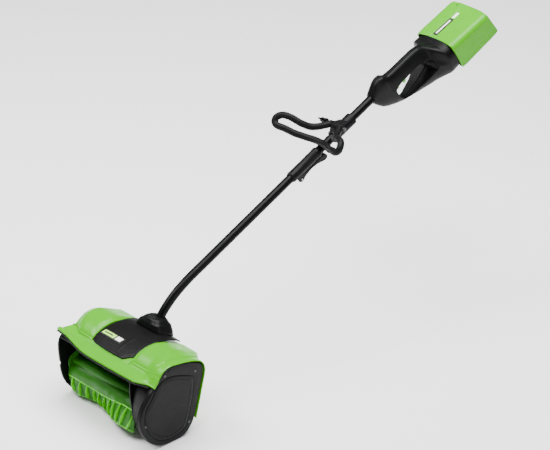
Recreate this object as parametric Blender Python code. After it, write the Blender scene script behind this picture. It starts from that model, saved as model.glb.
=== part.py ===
"""Cordless snow shovel: powered head, two-piece shaft, loop handle and rear handle with a battery housing.

Run with: blender --background --python part.py
World frame: metres, +Z up. The origin is on the ground under the impeller, in the plane of the shaft.
+X runs along the impeller axle towards the belt drive, -Y is the throwing direction, the shaft rises towards +Y.
Lengths in the code are millimetres and are scaled once, when a mesh is made.
"""
import math

import bmesh
import bpy
from mathutils import Matrix, Vector

MM = 0.001
GAP = 0.35              # clearance between neighbouring pieces

# head
X_NEAR = 184.0          # outer face of the drive cover
X_WALL = 114.0          # inner wall on the drive side
X_FAR = -158.0          # outer face of the far side plate
COVER_HALF = 70.0       # half width of the centre cover
AXLE_Y, AXLE_Z = -16.0, 85.0
IMPELLER_R = 79.0
LINER_R = 83.0
MOTOR_Y, MOTOR_Z = 38.0, 138.0
PULLEY_BIG, PULLEY_SMALL = 30.0, 10.0

# shaft
TUBE_R = 11.0
TUBE_WALL = 1.6
SHAFT_SLOPE = 0.48398   # rise over run of the straight shaft
SHAFT_Z0 = 185.66       # height of the shaft line above the origin
GRIP_Y = 822.4          # where the shaft enters the rear handle
SLEEVE_A0, SLEEVE_A1 = -308.0, -206.0
SPLIT_A = -262.0        # where the two tubes meet inside the sleeve

# rear handle
HOUSING_W = 62.0        # half width where the battery housing starts
HOUSING_A1 = 244.0
COVER_A1 = 380.0
BOW = 6.0               # the housing joint is bowed: its sides lie further forward
SLANT = 0.16            # lean of the housing joint, from top to bottom

# loop handle
LOOP_R = 9.0
CLAMP_A = -104.0
CLAMP_B = 21.5

_run = math.hypot(1.0, SHAFT_SLOPE)
T = Vector((0.0, 1.0 / _run, SHAFT_SLOPE / _run))      # along the shaft, towards the rear handle
N = Vector((0.0, -T.z, T.y))                            # out of the top of the shaft
XA = Vector((1.0, 0.0, 0.0))
H0 = Vector((0.0, GRIP_Y, SHAFT_Z0 + SHAFT_SLOPE * GRIP_Y))


def L(x, a, b):
    """Point in the shaft frame: x across, a along the shaft from the rear handle's front, b above the shaft's axis."""
    return H0 + XA * x + T * a + N * b


def clear():
    for o in list(bpy.data.objects):
        bpy.data.objects.remove(o, do_unlink=True)


MATS = {}


def material(name, rgb, rough, metal=0.0):
    m = bpy.data.materials.new(name)
    m.use_nodes = True
    b = m.node_tree.nodes.get("Principled BSDF")
    b.inputs["Base Color"].default_value = (*rgb, 1.0)
    b.inputs["Roughness"].default_value = rough
    b.inputs["Metallic"].default_value = metal
    m.diffuse_color = (*rgb, 1.0)
    return m


PALETTE = {
    "green": ((0.20, 0.68, 0.03), 0.32, 0.0),
    "black": ((0.022, 0.022, 0.024), 0.45, 0.0),
    "paint": ((0.018, 0.018, 0.02), 0.35, 0.3),
    "rubber": ((0.02, 0.02, 0.02), 0.8, 0.0),
    "steel": ((0.62, 0.62, 0.64), 0.3, 1.0),
    "alu": ((0.7, 0.7, 0.72), 0.35, 1.0),
    "board": ((0.02, 0.2, 0.08), 0.6, 0.0),
}


def make(name, verts, faces, mat, origin=(0, 0, 0), sharp=35.0):
    """A named object from millimetre points; its origin goes to `origin` (mm)."""
    me = bpy.data.meshes.new(name)
    o = Vector(origin)
    me.from_pydata([tuple((Vector(v) - o) * MM) for v in verts], [], faces)
    bm = bmesh.new()
    bm.from_mesh(me)
    bmesh.ops.remove_doubles(bm, verts=bm.verts, dist=1e-6)
    bmesh.ops.recalc_face_normals(bm, faces=bm.faces)
    if bm.calc_volume(signed=True) < 0:
        bmesh.ops.reverse_faces(bm, faces=bm.faces)
    bm.to_mesh(me)
    bm.free()
    ob = bpy.data.objects.new(name, me)
    bpy.context.scene.collection.objects.link(ob)
    ob.location = o * MM
    if mat not in MATS:
        MATS[mat] = True
    rgb, rough, metal = PALETTE[mat]
    me.materials.append(material(name + "_mat", rgb, rough, metal))
    me.shade_smooth()
    me.set_sharp_from_angle(angle=math.radians(sharp))
    return ob


def loft(rings, cap=True, closed=False):
    """Points and faces of a skin over rings of equal length; each ring is a closed loop."""
    n = len(rings[0])
    verts = [p for r in rings for p in r]
    faces = []
    m = len(rings)
    for i in range(m if closed else m - 1):
        j = (i + 1) % m
        for k in range(n):
            l = (k + 1) % n
            faces.append((i * n + k, i * n + l, j * n + l, j * n + k))
    if cap and not closed:
        faces.append(tuple(range(n))[::-1])
        faces.append(tuple((m - 1) * n + k for k in range(n)))
    return verts, faces


def sweep(points, radius, n=16, start=0.0, squash=1.0, closed=False, up=None):
    """Rings round a path, kept from twisting."""
    pts = [Vector(p) for p in points]
    m = len(pts)
    tang = []
    for i in range(m):
        a = pts[(i - 1) % m] if (closed or i > 0) else pts[0]
        b = pts[(i + 1) % m] if (closed or i < m - 1) else pts[-1]
        tang.append((b - a).normalized())
    ref = Vector(up) if up else Vector((1, 0, 0))
    rings = []
    for i in range(m):
        s = (ref - tang[i] * ref.dot(tang[i])).normalized()
        if not up:
            ref = s
        q = tang[i].cross(s).normalized()
        r = radius(i / (m - 1)) if callable(radius) else radius
        rings.append([pts[i] + s * (r * math.cos(start + 2 * math.pi * k / n)) + q * (r * squash * math.sin(start + 2 * math.pi * k / n)) for k in range(n)])
    return rings


def hollow(outer, inner):
    """Tube wall between two lists of rings of the same count."""
    n = len(outer[0])
    m = len(outer)
    verts = [p for r in outer for p in r] + [p for r in inner for p in r]
    off = n * m
    faces = []
    for i in range(m - 1):
        for k in range(n):
            l = (k + 1) % n
            faces.append((i * n + k, i * n + l, (i + 1) * n + l, (i + 1) * n + k))
            faces.append((off + i * n + l, off + i * n + k, off + (i + 1) * n + k, off + (i + 1) * n + l))
    for k in range(n):
        l = (k + 1) % n
        faces.append((l, k, off + k, off + l))
        b = (m - 1) * n
        faces.append((b + k, b + l, off + b + l, off + b + k))
    return verts, faces


def turned(centre, axis, profile, n=24):
    """Closed ring solid turned about an axis. profile is a closed list of (radius, height)."""
    axis = Vector(axis).normalized()
    ref = Vector((1, 0, 0)) if abs(axis.x) < 0.9 else Vector((0, 0, 1))
    s = (ref - axis * ref.dot(axis)).normalized()
    q = axis.cross(s)
    c = Vector(centre)
    rings = []
    for i in range(n):
        t = 2 * math.pi * i / n
        d = s * math.cos(t) + q * math.sin(t)
        rings.append([c + d * r + axis * h for r, h in profile])
    return loft(rings, closed=True)


def solid_round(centre, axis, profile, n=24):
    """Closed turned solid without a bore: profile is (radius, height) from bottom to top, ends capped."""
    axis = Vector(axis).normalized()
    ref = Vector((1, 0, 0)) if abs(axis.x) < 0.9 else Vector((0, 0, 1))
    s = (ref - axis * ref.dot(axis)).normalized()
    q = axis.cross(s)
    c = Vector(centre)
    rings = [[c + axis * h + (s * math.cos(2 * math.pi * k / n) + q * math.sin(2 * math.pi * k / n)) * r for k in range(n)] for r, h in profile]
    return loft(rings)


def prism_x(outline, x0, x1):
    """Outline of (Y, Z) points pushed from x0 to x1."""
    return loft([[Vector((x0, y, z)) for y, z in outline], [Vector((x1, y, z)) for y, z in outline]])


def box_l(x0, x1, a0, a1, b0, b1, c=0.0):
    """Box in the shaft frame with chamfered long edges."""
    ring = [(x0 + c, b0), (x1 - c, b0), (x1, b0 + c), (x1, b1 - c), (x1 - c, b1), (x0 + c, b1), (x0, b1 - c), (x0, b0 + c)] if c else [(x0, b0), (x1, b0), (x1, b1), (x0, b1)]
    return loft([[L(x, a, b) for x, b in ring] for a in (a0, a1)])


def smooth_line(points, step=1, closed=False):
    """Catmull-Rom line through points, step pieces between neighbours."""
    p = [tuple(q) for q in points]
    n = len(p)
    out = []
    for i in range(n if closed else n - 1):
        a = p[(i - 1) % n] if (closed or i > 0) else p[0]
        b, c = p[i], p[(i + 1) % n]
        d = p[(i + 2) % n] if (closed or i < n - 2) else p[-1]
        for s in range(step):
            t = s / step
            out.append(tuple(0.5 * (2 * b[k] + (c[k] - a[k]) * t + (2 * a[k] - 5 * b[k] + 4 * c[k] - d[k]) * t * t + (3 * b[k] - a[k] - 3 * c[k] + d[k]) * t ** 3) for k in range(len(b))))
    if not closed:
        out.append(p[-1])
    return out


def offset(outline, d, closed=True):
    """Polygon moved inwards by d (positive) along its corner normals."""
    n = len(outline)
    area = sum(outline[i][0] * outline[(i + 1) % n][1] - outline[(i + 1) % n][0] * outline[i][1] for i in range(n))
    sign = 1.0 if area > 0 else -1.0
    out = []
    for i in range(n):
        p = outline[i]
        a = outline[i - 1] if (closed or i > 0) else None
        b = outline[(i + 1) % n] if (closed or i < n - 1) else None
        e = []
        for u, v in ((a, p), (p, b)):
            if u is None or v is None:
                continue
            l = math.hypot(v[0] - u[0], v[1] - u[1])
            if l > 1e-9:
                e.append((-(v[1] - u[1]) / l * sign, (v[0] - u[0]) / l * sign))
        nx, ny = sum(q[0] for q in e), sum(q[1] for q in e)
        l = math.hypot(nx, ny)
        nx, ny = nx / l, ny / l
        k = 1.0 / max(0.5, nx * e[0][0] + ny * e[0][1])
        out.append((p[0] + nx * d * k, p[1] + ny * d * k))
    return out


def cut(ob, op, *others, solver="EXACT"):
    """Boolean with each other object in turn, applied; the others are removed."""
    for other in others:
        mod = ob.modifiers.new("b", "BOOLEAN")
        mod.operation = op
        mod.solver = solver
        mod.object = other
        dg = bpy.context.evaluated_depsgraph_get()
        me = bpy.data.meshes.new_from_object(ob.evaluated_get(dg))
        ob.modifiers.remove(mod)
        old = ob.data
        ob.data = me
        bpy.data.meshes.remove(old)
        me2 = other.data
        bpy.data.objects.remove(other, do_unlink=True)
        bpy.data.meshes.remove(me2)
        del me2
    ob.data.shade_smooth()
    ob.data.set_sharp_from_angle(angle=math.radians(35))
    return ob


def smoothstep(a, b, x):
    t = min(1.0, max(0.0, (x - a) / (b - a)))
    return t * t * (3 - 2 * t)


# ---------------------------------------------------------------- head

def hood_profile(x):
    """Outer hood line at one station: (Y, Z) from the lip, over the top, down the rear to the tail."""
    ax = abs(x)
    mid = 1.0 - smoothstep(COVER_HALF - 0.2, COVER_HALF + 0.4, ax)     # 1 in the recess under the centre cover
    shoulder = 1.0 - smoothstep(70, 86, ax)                            # soft inner edge of each fender
    lip = -76 + 6 * (ax / 160) ** 2
    base = [(lip, 172.0), (lip + 9, 174.0), (-52, 175.4), (-38, 178.0), (-31, 182), (-23, 191), (-9, 201.5), (8, 208), (26, 210.5), (46, 209.5),
            (70, 201.5), (99, 188), (121, 177), (126, 168), (120, 150), (103, 110), (89, 72), (76, 40)]
    near = [(-56, 169.5), (-53, 174), (-46, 183), (-42, 190.5), (-37.5, 197.5), (-32, 203.5), (-25, 208.5), (-15, 212), (-3, 213), (18, 210.5),
            (52, 204.5), (81, 194.5), (97, 184), (103, 170), (103, 150), (94, 110), (85.5, 72), (77, 38)]
    k = smoothstep(124, 168, x)
    far = smoothstep(138, 161, -x)
    pts = []
    for i, ((y, z), (yn, zn)) in enumerate(zip(base, near)):
        if 3 <= i <= 12:
            z -= 4.5 * shoulder * smoothstep(-40, 0, y)
        if 3 <= i <= 9:
            y += 17 * smoothstep(112, 152, -x) * (1.0 if i < 6 else (10 - i) / 4)       # the far fender starts a little further back
        if i >= 4:
            z -= (0 if i > 12 else 9 if i > 4 else 4) * far
        sweep_up = smoothstep(40, 160, -x)                             # the far end of the lip sits higher and further back
        y += 12 * sweep_up * (1 - smoothstep(1.2, 4.6, i))
        z += 9 * sweep_up * (1 - smoothstep(0.5, 3.5, i))
        if i >= 10:
            y -= 10 * far * (1 if i < 14 else 0.6)
        y, z = y + (yn - y) * k, z + (zn - z) * k
        if mid > 0.0 and i >= 3:
            c = cover_z(y) - 5.4
            if y > cover_front(x) - 4.5 and i <= 12:
                z = z * (1 - mid) + min(z, c) * mid
        pts.append((y, z))
    return pts


def cover_front(x):
    """Front edge of the centre cover, rounded off towards its near corner."""
    return -36.5 + 3.5 * (abs(x) / COVER_HALF) ** 2 + 13.0 * smoothstep(42, 70, x) + 3.0 * smoothstep(54, 70, -x)


def lip_x(x, i):
    """How far a point of the hood's far lip stands out sideways."""
    return x - 10.0 * smoothstep(128, 160, -x) * (1 - smoothstep(1.5, 4.0, i))


def cover_z(y):
    """Top of the centre cover along the shaft plane."""
    line = [(-40, 181.5), (-36, 184.0), (-15, 195), (5, 201.5), (30, 205), (60, 204.5), (90, 198), (112, 189), (128, 178)]
    if y <= line[0][0]:
        return line[0][1]
    for (a, za), (b, zb) in zip(line, line[1:]):
        if y <= b:
            return za + (zb - za) * (y - a) / (b - a)
    return line[-1][1]


def shell_x(stations, profile, thick):
    """Open shell: outer lines at each station, inner lines offset inwards, all edges closed."""
    outer = [[Vector((lip_x(x, i), y, z)) for i, (y, z) in enumerate(profile(x))] for x in stations]
    inner = []
    for x in stations:
        p = profile(x)
        q = []
        for i in range(len(p)):
            a = p[max(0, i - 1)]
            b = p[min(len(p) - 1, i + 1)]
            l = math.hypot(b[0] - a[0], b[1] - a[1])
            q.append(Vector((lip_x(x, i), p[i][0] + (b[1] - a[1]) / l * thick, p[i][1] - (b[0] - a[0]) / l * thick)))
        inner.append(q)
    n = len(outer[0])
    rings = [o + i[::-1] for o, i in zip(outer, inner)]
    return loft(rings)


def build_head():
    xs = [-160, -156, -150, -143, -136, -126, -112, -98, -86, -78, -73, -70.6, -69.9, -50, -25, 0, 25, 50, 69.9, 70.6, 73, 78, 86, 98, 112, 126, 136, 145, 154, 163, 172, 178, 182, 184.6]
    v, f = shell_x(xs, hood_profile, 3.0)
    make("hood_shell", v, f, "green")

    # centre cover, 3 mm thick, curved in both directions
    def cover_line(x):
        front = cover_front(x)
        ys = [front + (126 - front) * k for k in (0, 0.065, 0.13, 0.19, 0.255, 0.335, 0.41, 0.5, 0.59, 0.685, 0.775, 0.85, 0.915, 0.97, 1)]
        return [(y, cover_z(y) - 1.6 * (abs(x) / COVER_HALF) ** 4) for y in ys]
    xs2 = [-69.3, -67, -60, -45, -30, -15, 0, 15, 30, 42, 49, 55, 60, 64, 67, 69.3]
    rings = []
    for x in xs2:
        p = cover_line(x)
        rings.append([Vector((x, y, z)) for y, z in p] + [Vector((x, y, z - 2.6)) for y, z in p[::-1]])
    v, f = loft(rings)
    cover = make("centre_cover", v, f, "black")



def outline_cover():
    """Drive cover outline in (Y, Z)."""
    pts = [(-16, 1.0), (-36, 6), (-53, 14), (-67, 26), (-79, 41), (-89, 58), (-95, 76), (-97, 94), (-94, 111), (-86, 128), (-75, 143), (-64.5, 156.5), (-55.5, 163.8),
           (-48, 172.5), (-42, 182), (-37, 190.5), (-31, 199), (-21.5, 206), (-3, 208.7), (17, 207), (50, 200), (77, 190.5), (91, 181), (97, 169), (97, 150), (88, 110), (79.5, 72), (71, 40), (60, 20), (46, 7), (25, 1.0)]
    return pts


def build_drive():
    out = outline_cover()
    # outer cover: dish with a rounded rim
    steps = [(170.6, 0.0), (180.0, 0.0), (182.8, 1.2), (184.0, 3.6)]
    rings = [[Vector((x, y, z)) for y, z in (offset(out, d) if d else out)] for x, d in steps]
    inner = [[Vector((x, y, z)) for y, z in offset(out, d)] for x, d in ((170.6, 2.6), (180.6, 3.2))]
    verts = [p for r in rings for p in r]
    n = len(out)
    faces = []
    for i in range(len(rings) - 1):
        for k in range(n):
            l = (k + 1) % n
            faces.append((i * n + k, i * n + l, (i + 1) * n + l, (i + 1) * n + k))
    base = len(verts)
    verts += [p for r in inner for p in r]
    for k in range(n):
        l = (k + 1) % n
        faces.append((base + l, base + k, base + n + k, base + n + l))
        faces.append((l, k, base + k, base + l))
    faces.append(tuple(3 * n + k for k in range(n)))
    faces.append(tuple(base + n + k for k in range(n))[::-1])
    make("drive_cover", verts, faces, "black")

    # housing behind it: set back at the front, open towards the cover
    back = [(-20, 4), (-40, 12), (-52, 26), (-60, 45), (-64, 70), (-66, 100), (-64, 130), (-60, 148), (-54, 158),
            (-40, 168), (-28, 172), (-14, 186), (4, 194), (24, 196), (46, 193), (66, 186), (78, 178), (82, 168), (81, 158), (76, 130), (68, 96), (60, 60), (54, 40), (49, 22), (42, 10), (22, 4)]
    v, f = prism_x(back, 118.2, 170.2)
    house = make("drive_housing", v, f, "black")
    v, f = prism_x(offset(back, 2.8), 121.4, 175)
    cut(house, "DIFFERENCE", make("cut_house", v, f, "black"))
    for name, y, z, r in (("cut_axle", AXLE_Y, AXLE_Z, 9.3), ("cut_motor", MOTOR_Y, MOTOR_Z, 0)):
        if r:
            v, f = solid_round((112, y, z), (1, 0, 0), [(r, 0), (r, 14)], 24)
            cut(house, "DIFFERENCE", make(name, v, f, "black"))

    # inner wall
    wall = [(-36, 3), (-46, 20), (-54, 38), (-61, 58), (-64, 72), (-66, 86), (-70, 112), (-72, 130), (-72.5, 148), (-72, 162.5),
            (-60, 168.5), (-36, 171.5), (-18, 184), (0, 193), (24, 198), (58, 194), (84, 182), (98, 172), (102, 160), (96, 130), (82, 96), (70, 58), (56, 24), (46, 8), (24, 4.8), (0, 3)]
    v, f = prism_x(wall, X_WALL, 117.8)
    w = make("near_side_wall", v, f, "black")
    v, f = solid_round((110, AXLE_Y, AXLE_Z), (1, 0, 0), [(9.3, 0), (9.3, 14)], 24)
    cut(w, "DIFFERENCE", make("cut_wall", v, f, "black"))

    # far plate with a pocket for the bearing
    far = [(-12, 1), (-28, 9), (-42, 26), (-53, 46), (-60, 70), (-62, 84), (-59, 90), (-63, 98), (-66, 130), (-66, 148), (-62, 160), (-56, 168.5), (-44, 170), (-26, 169.5), (-8, 169.5), (3, 174), (20, 186), (50, 190), (84, 178), (100, 168), (104, 156), (98, 130), (84, 96), (72, 60), (60, 34), (50, 14), (42, 5), (22, 1)]
    v, f = prism_x(far, X_FAR, -152.5)
    p = make("far_side_plate", v, f, "black")
    v, f = solid_round((-154.9, AXLE_Y, AXLE_Z), (1, 0, 0), [(9.3, 0), (9.3, 10)], 24)
    cut(p, "DIFFERENCE", make("cut_far", v, f, "black"))


def build_liner():
    """Scroll behind the impeller, from the lip to the scraper."""
    n = 26
    inner, outer = [], []
    for i in range(n + 1):
        t = math.radians(104 - (104 + 66) * i / n)
        for r, lst in ((LINER_R, inner), (LINER_R + 2.4, outer)):
            lst.append((AXLE_Y + r * math.cos(t), AXLE_Z + r * math.sin(t)))
    inner = [(-63.5, 164.4), (-52, 166.0)] + inner + [(30, 6.5), (50, 4.8)]
    outer = [(-63.5, 166.6), (-52, 168.4)] + outer + [(33, 9.2), (50, 7.6)]
    v, f = loft([[Vector((x, y, z)) for y, z in inner + outer[::-1]] for x in (-152.1, 113.6)])
    make("intake_liner", v, f, "black")
    # strip under the lip
    rings = []
    for x in (-168, -160, -150, -140, -120, -100, -80, -60, -40, 0, 60, 112, 130, 150, 166):
        y, z = hood_profile(max(-160, min(184, x)))[0]
        z -= 0.9 + 0.9 * smoothstep(40, 150, -x)
        rings.append([Vector((x, y - 1.6, z - 2.9)), Vector((x, y - 1.6, z - 5.8)), Vector((x, y + 1.0, z - 6.6)), Vector((x, y + 6.4, z - 3.6)), Vector((x, y + 6.4, z - 2.3))])
    v, f = loft(rings)
    make("front_edge_strip", v, f, "rubber")
    # scraper along the ground
    prof = [(-8, 0), (34, 0), (52, 2.6), (52, 4.3), (34, 3.9), (26, 3.6), (-5, 1.8)]
    v, f = prism_x(prof, -152.1, 113.6)
    make("scraper_bar", v, f, "rubber")


TIP = [(-150, -98), (-120, -106), (-95, -100), (-60, -94), (-20, -102), (10, -112), (40, -124), (75, -134), (100, -133), (111, -122)]


def tip_angle(x):
    if x <= TIP[0][0]:
        return TIP[0][1]
    for (a, ta), (b, tb) in zip(TIP, TIP[1:]):
        if x <= b:
            s = (x - a) / (b - a)
            s = s * s * (3 - 2 * s)
            return ta + (tb - ta) * s
    return TIP[-1][1]


def build_impeller():
    origin = (0, AXLE_Y, AXLE_Z)
    hub = 13.0
    xs = [-149, -135, -120, -108, -95, -78, -60, -40, -20, -5, 10, 25, 40, 58, 75, 88, 100, 110]
    rings = []
    for x in xs:
        ring = []
        for turn in (0, 180):
            line = []
            for i in range(8):
                s = i / 7
                r = hub + (IMPELLER_R - hub) * s
                a = math.radians(tip_angle(x) + turn - 78 * (1 - s) ** 1.7)
                line.append(Vector((r * math.cos(a), r * math.sin(a))))
            back = []
            for i in range(1, 8):
                d = (line[min(7, i + 1)] - line[i - 1]).normalized()
                back.append(line[i] + Vector((-d.y, d.x)) * 2.8)
            root = math.radians(tip_angle(x) + turn - 78)
            arc = [Vector((hub * math.cos(root + math.radians(t)), hub * math.sin(root + math.radians(t)))) for t in (16, 50, 85, 120, 152)]
            ring += line + back[::-1] + arc
        rings.append([Vector((x, AXLE_Y + p.x, AXLE_Z + p.y)) for p in ring])
    v, f = loft(rings)
    imp = make("impeller", v, f, "green", origin)
    for x0 in (-149.6, 107.3):
        v, f = solid_round((x0, AXLE_Y, AXLE_Z), (1, 0, 0), [(26, 0), (26, 3)], 28)
        cut(imp, "UNION", make("disc", v, f, "green", origin))
    v, f = solid_round((-160, AXLE_Y, AXLE_Z), (1, 0, 0), [(6.4, 0), (6.4, 300)], 20)
    cut(imp, "DIFFERENCE", make("bore", v, f, "green", origin))
    # axle with bearings
    v, f = solid_round((-154.2, AXLE_Y, AXLE_Z), (1, 0, 0), [(5, 0), (5, 3.9), (6.05, 4.0), (6.05, 264.9), (5, 265), (5, 324.7)], 20)
    make("impeller_axle", v, f, "steel", origin)
    for name, x0 in (("bearing_far", -154.6), ("bearing_near", 112.2)):
        if name == "bearing_far":
            v, f = turned((x0, AXLE_Y, AXLE_Z), (1, 0, 0), [(5.3, 0), (9.0, 0), (9.0, 4.0), (5.3, 4.0)], 24)
        else:
            v, f = turned((x0, AXLE_Y, AXLE_Z), (1, 0, 0), [(5.3, 0), (9.0, 0), (9.0, 8.5), (5.3, 8.5)], 24)
        make(name, v, f, "steel")
    # pulleys, belt, motor
    v, f = turned((154, AXLE_Y, AXLE_Z), (1, 0, 0), [(5.3, 0), (PULLEY_BIG + 2.5, 0), (PULLEY_BIG + 2.5, 1.5), (PULLEY_BIG, 1.7), (PULLEY_BIG, 10.3), (PULLEY_BIG + 2.5, 10.5), (PULLEY_BIG + 2.5, 12), (5.3, 12)], 28)
    make("impeller_pulley", v, f, "black", origin)
    mo = (0, MOTOR_Y, MOTOR_Z)
    v, f = turned((154, MOTOR_Y, MOTOR_Z), (1, 0, 0), [(3.3, 0), (PULLEY_SMALL + 2, 0), (PULLEY_SMALL + 2, 1.5), (PULLEY_SMALL, 1.7), (PULLEY_SMALL, 10.3), (PULLEY_SMALL + 2, 10.5), (PULLEY_SMALL + 2, 12), (3.3, 12)], 24)
    make("motor_pulley", v, f, "alu", mo)
    v, f = solid_round((125, MOTOR_Y, MOTOR_Z), (1, 0, 0), [(3.0, 0), (3.0, 43)], 16)
    make("motor_shaft", v, f, "steel", mo)
    v, f = turned((122, MOTOR_Y, MOTOR_Z), (1, 0, 0), [(3.4, 0), (20, 0), (25, 3), (25, 27), (20, 30), (3.4, 30)], 28)
    make("motor", v, f, "steel", mo)
    d = math.hypot(MOTOR_Y - AXLE_Y, MOTOR_Z - AXLE_Z)
    along = math.atan2(MOTOR_Z - AXLE_Z, MOTOR_Y - AXLE_Y)
    lean = math.acos((PULLEY_BIG - PULLEY_SMALL) / d)

    def belt_line(extra):
        pts = []
        for i in range(17):
            t = along + lean + (2 * math.pi - 2 * lean) * i / 16
            pts.append((AXLE_Y + (PULLEY_BIG + extra) * math.cos(t), AXLE_Z + (PULLEY_BIG + extra) * math.sin(t)))
        for i in range(9):
            t = along - lean + 2 * lean * i / 8
            pts.append((MOTOR_Y + (PULLEY_SMALL + extra) * math.cos(t), MOTOR_Z + (PULLEY_SMALL + extra) * math.sin(t)))
        return pts
    po, pi = belt_line(2.6), belt_line(0.7)
    v, f = hollow([[Vector((x, y, z)) for y, z in po] for x in (156.2, 163.8)], [[Vector((x, y, z)) for y, z in pi] for x in (156.2, 163.8)])
    make("drive_belt", v, f, "rubber")


# ---------------------------------------------------------------- shaft

def lower_path():
    pts = [(0, 103, 192.5), (0, 113, 203.5), (0, 124, 217), (0, 134.5, 230), (0, 147, 242.6), (0, 160, 254.2), (0, 174.5, 265.3), (0, 191, 275.8), (0, 208.5, 286.2), (0, 228, 296.2), (0, 248, 305.8), (0, 274, 318.2), (0, 300, SHAFT_Z0 + 300 * SHAFT_SLOPE)]
    fine = [Vector(p) for p in smooth_line(pts, 2)]
    end = L(0, SPLIT_A, 0)
    return fine + [end]


def build_shaft():
    path = lower_path()
    o = sweep(path, TUBE_R, 18)
    i = sweep(path, TUBE_R - TUBE_WALL, 18)
    v, f = hollow(o, i)
    make("lower_tube", v, f, "paint")
    path = [L(0, SPLIT_A + 1.0, 0), L(0, 12, 0)]
    v, f = hollow(sweep(path, TUBE_R, 18), sweep(path, TUBE_R - TUBE_WALL, 18))
    make("upper_tube", v, f, "paint", L(0, 0, 0))

    # collar turret round the foot of the lower tube, standing on the cover
    def ring(cy, cz, rx, ry, tilt, n=24):
        out = []
        for k in range(n):
            t = 2 * math.pi * (k + 0.5) / n
            e = 0.72
            cx = math.copysign(abs(math.cos(t)) ** e, math.cos(t)) * rx
            cyy = math.copysign(abs(math.sin(t)) ** e, math.sin(t)) * ry
            y = cy + cyy
            out.append(Vector((cx, y, cover_z(min(y, 127)) + 0.5 if cz is None else cz + cyy * math.tan(tilt))))
        return out
    rings = [ring(105, 172, 47, 30.5, 0), ring(105, 197, 45.5, 29.5, math.radians(-14)), ring(108, 211, 36, 27, math.radians(-14)), ring(110, 220, 26, 23, math.radians(-15)), ring(112, 222.5, 20, 18.5, math.radians(-15))]
    v, f = loft(rings)
    collar = make("shaft_collar", v, f, "black")
    under = [(y, cover_z(y) + 0.45) for y in (40, 50, 60, 70, 80, 90, 101, 112, 120, 127.9)] + [(150, 177.5), (150, 150), (40, 150)]
    v, f = prism_x(under, -80, 80)
    cut(collar, "DIFFERENCE", make("cut_under", v, f, "black"))
    bore = [Vector(p) for p in path_points(lower_path(), 11)]
    v, f = loft(sweep(bore, TUBE_R + 0.5, 24))
    cut(collar, "DIFFERENCE", make("cut_collar", v, f, "black"))
    # the centre cover and the hood let the tube's foot through
    for name in ("centre_cover",):
        v, f = loft(sweep(bore, TUBE_R + 0.5, 24))
        cut(bpy.data.objects[name], "DIFFERENCE", make("cut_c", v, f, "black"))
    # coupling sleeve, fixed to the lower tube
    rows = [(SLEEVE_A0, 12.4), (SLEEVE_A0 + 3, 14.2), (SLEEVE_A1 - 4, 14.2), (SLEEVE_A1, 13.0)]
    pts = [L(0, a, 0) for a, r in rows]
    outer = [[L(r * math.cos(2 * math.pi * k / 20), a, r * math.sin(2 * math.pi * k / 20)) for k in range(20)] for a, r in rows]
    inner = [[L(11.4 * math.cos(2 * math.pi * k / 20), a, 11.4 * math.sin(2 * math.pi * k / 20)) for k in range(20)] for a, r in rows]
    v, f = hollow(outer, inner)
    sleeve = make("coupling_sleeve", v, f, "black")
    for side in (-1, 1):
        v, f = box_l(min(side * 7, side * 10.5), max(side * 7, side * 10.5), SLEEVE_A0 + 14, SLEEVE_A0 + 36, -27, -9.6, 0)
        # ears for the lever's pin
        cut(sleeve, "UNION", make("ear", v, f, "black"))
    v, f = solid_round(L(-14, -284, -22), (1, 0, 0), [(2.35, 0), (2.35, 28)], 14)
    cut(sleeve, "DIFFERENCE", make("ear_hole", v, f, "black"))
    # bore again so that the ears stay out of it
    v, f = loft([[L(11.4 * math.cos(2 * math.pi * k / 20), a, 11.4 * math.sin(2 * math.pi * k / 20)) for k in range(20)] for a in (SLEEVE_A0 - 5, SLEEVE_A1 + 5)])
    cut(sleeve, "DIFFERENCE", make("bore", v, f, "black"))
    # lever
    top = [(-288, -17.2), (-279, -15.6), (-262, -15.6), (-240, -16.2), (-218, -16.2), (-206, -16.8)]
    bot = [(-290.3, -24.4), (-284, -28.5), (-274, -28), (-262, -24.4), (-244, -22.8), (-226, -24.4), (-208, -31), (-199, -34), (-192, -33), (-188, -27), (-190, -20.5), (-198, -17)]
    outline = top + [(a, b) for a, b in bot[::-1]]
    v, f = loft([[L(x, a, b) for a, b in outline] for x in (-6.6, 6.6)])
    lever = make("latch_lever", v, f, "black", L(0, -284, -22))
    v, f = solid_round(L(-14, -284, -22), (1, 0, 0), [(2.35, 0), (2.35, 28)], 14)
    cut(lever, "DIFFERENCE", make("lever_hole", v, f, "black"))
    v, f = solid_round(L(-10.8, -284, -22), (1, 0, 0), [(2.0, 0), (2.0, 21.6)], 14)
    make("latch_pin", v, f, "steel", L(0, -284, -22))


def path_points(path, n):
    return path[:n]


# ---------------------------------------------------------------- loop handle

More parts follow.
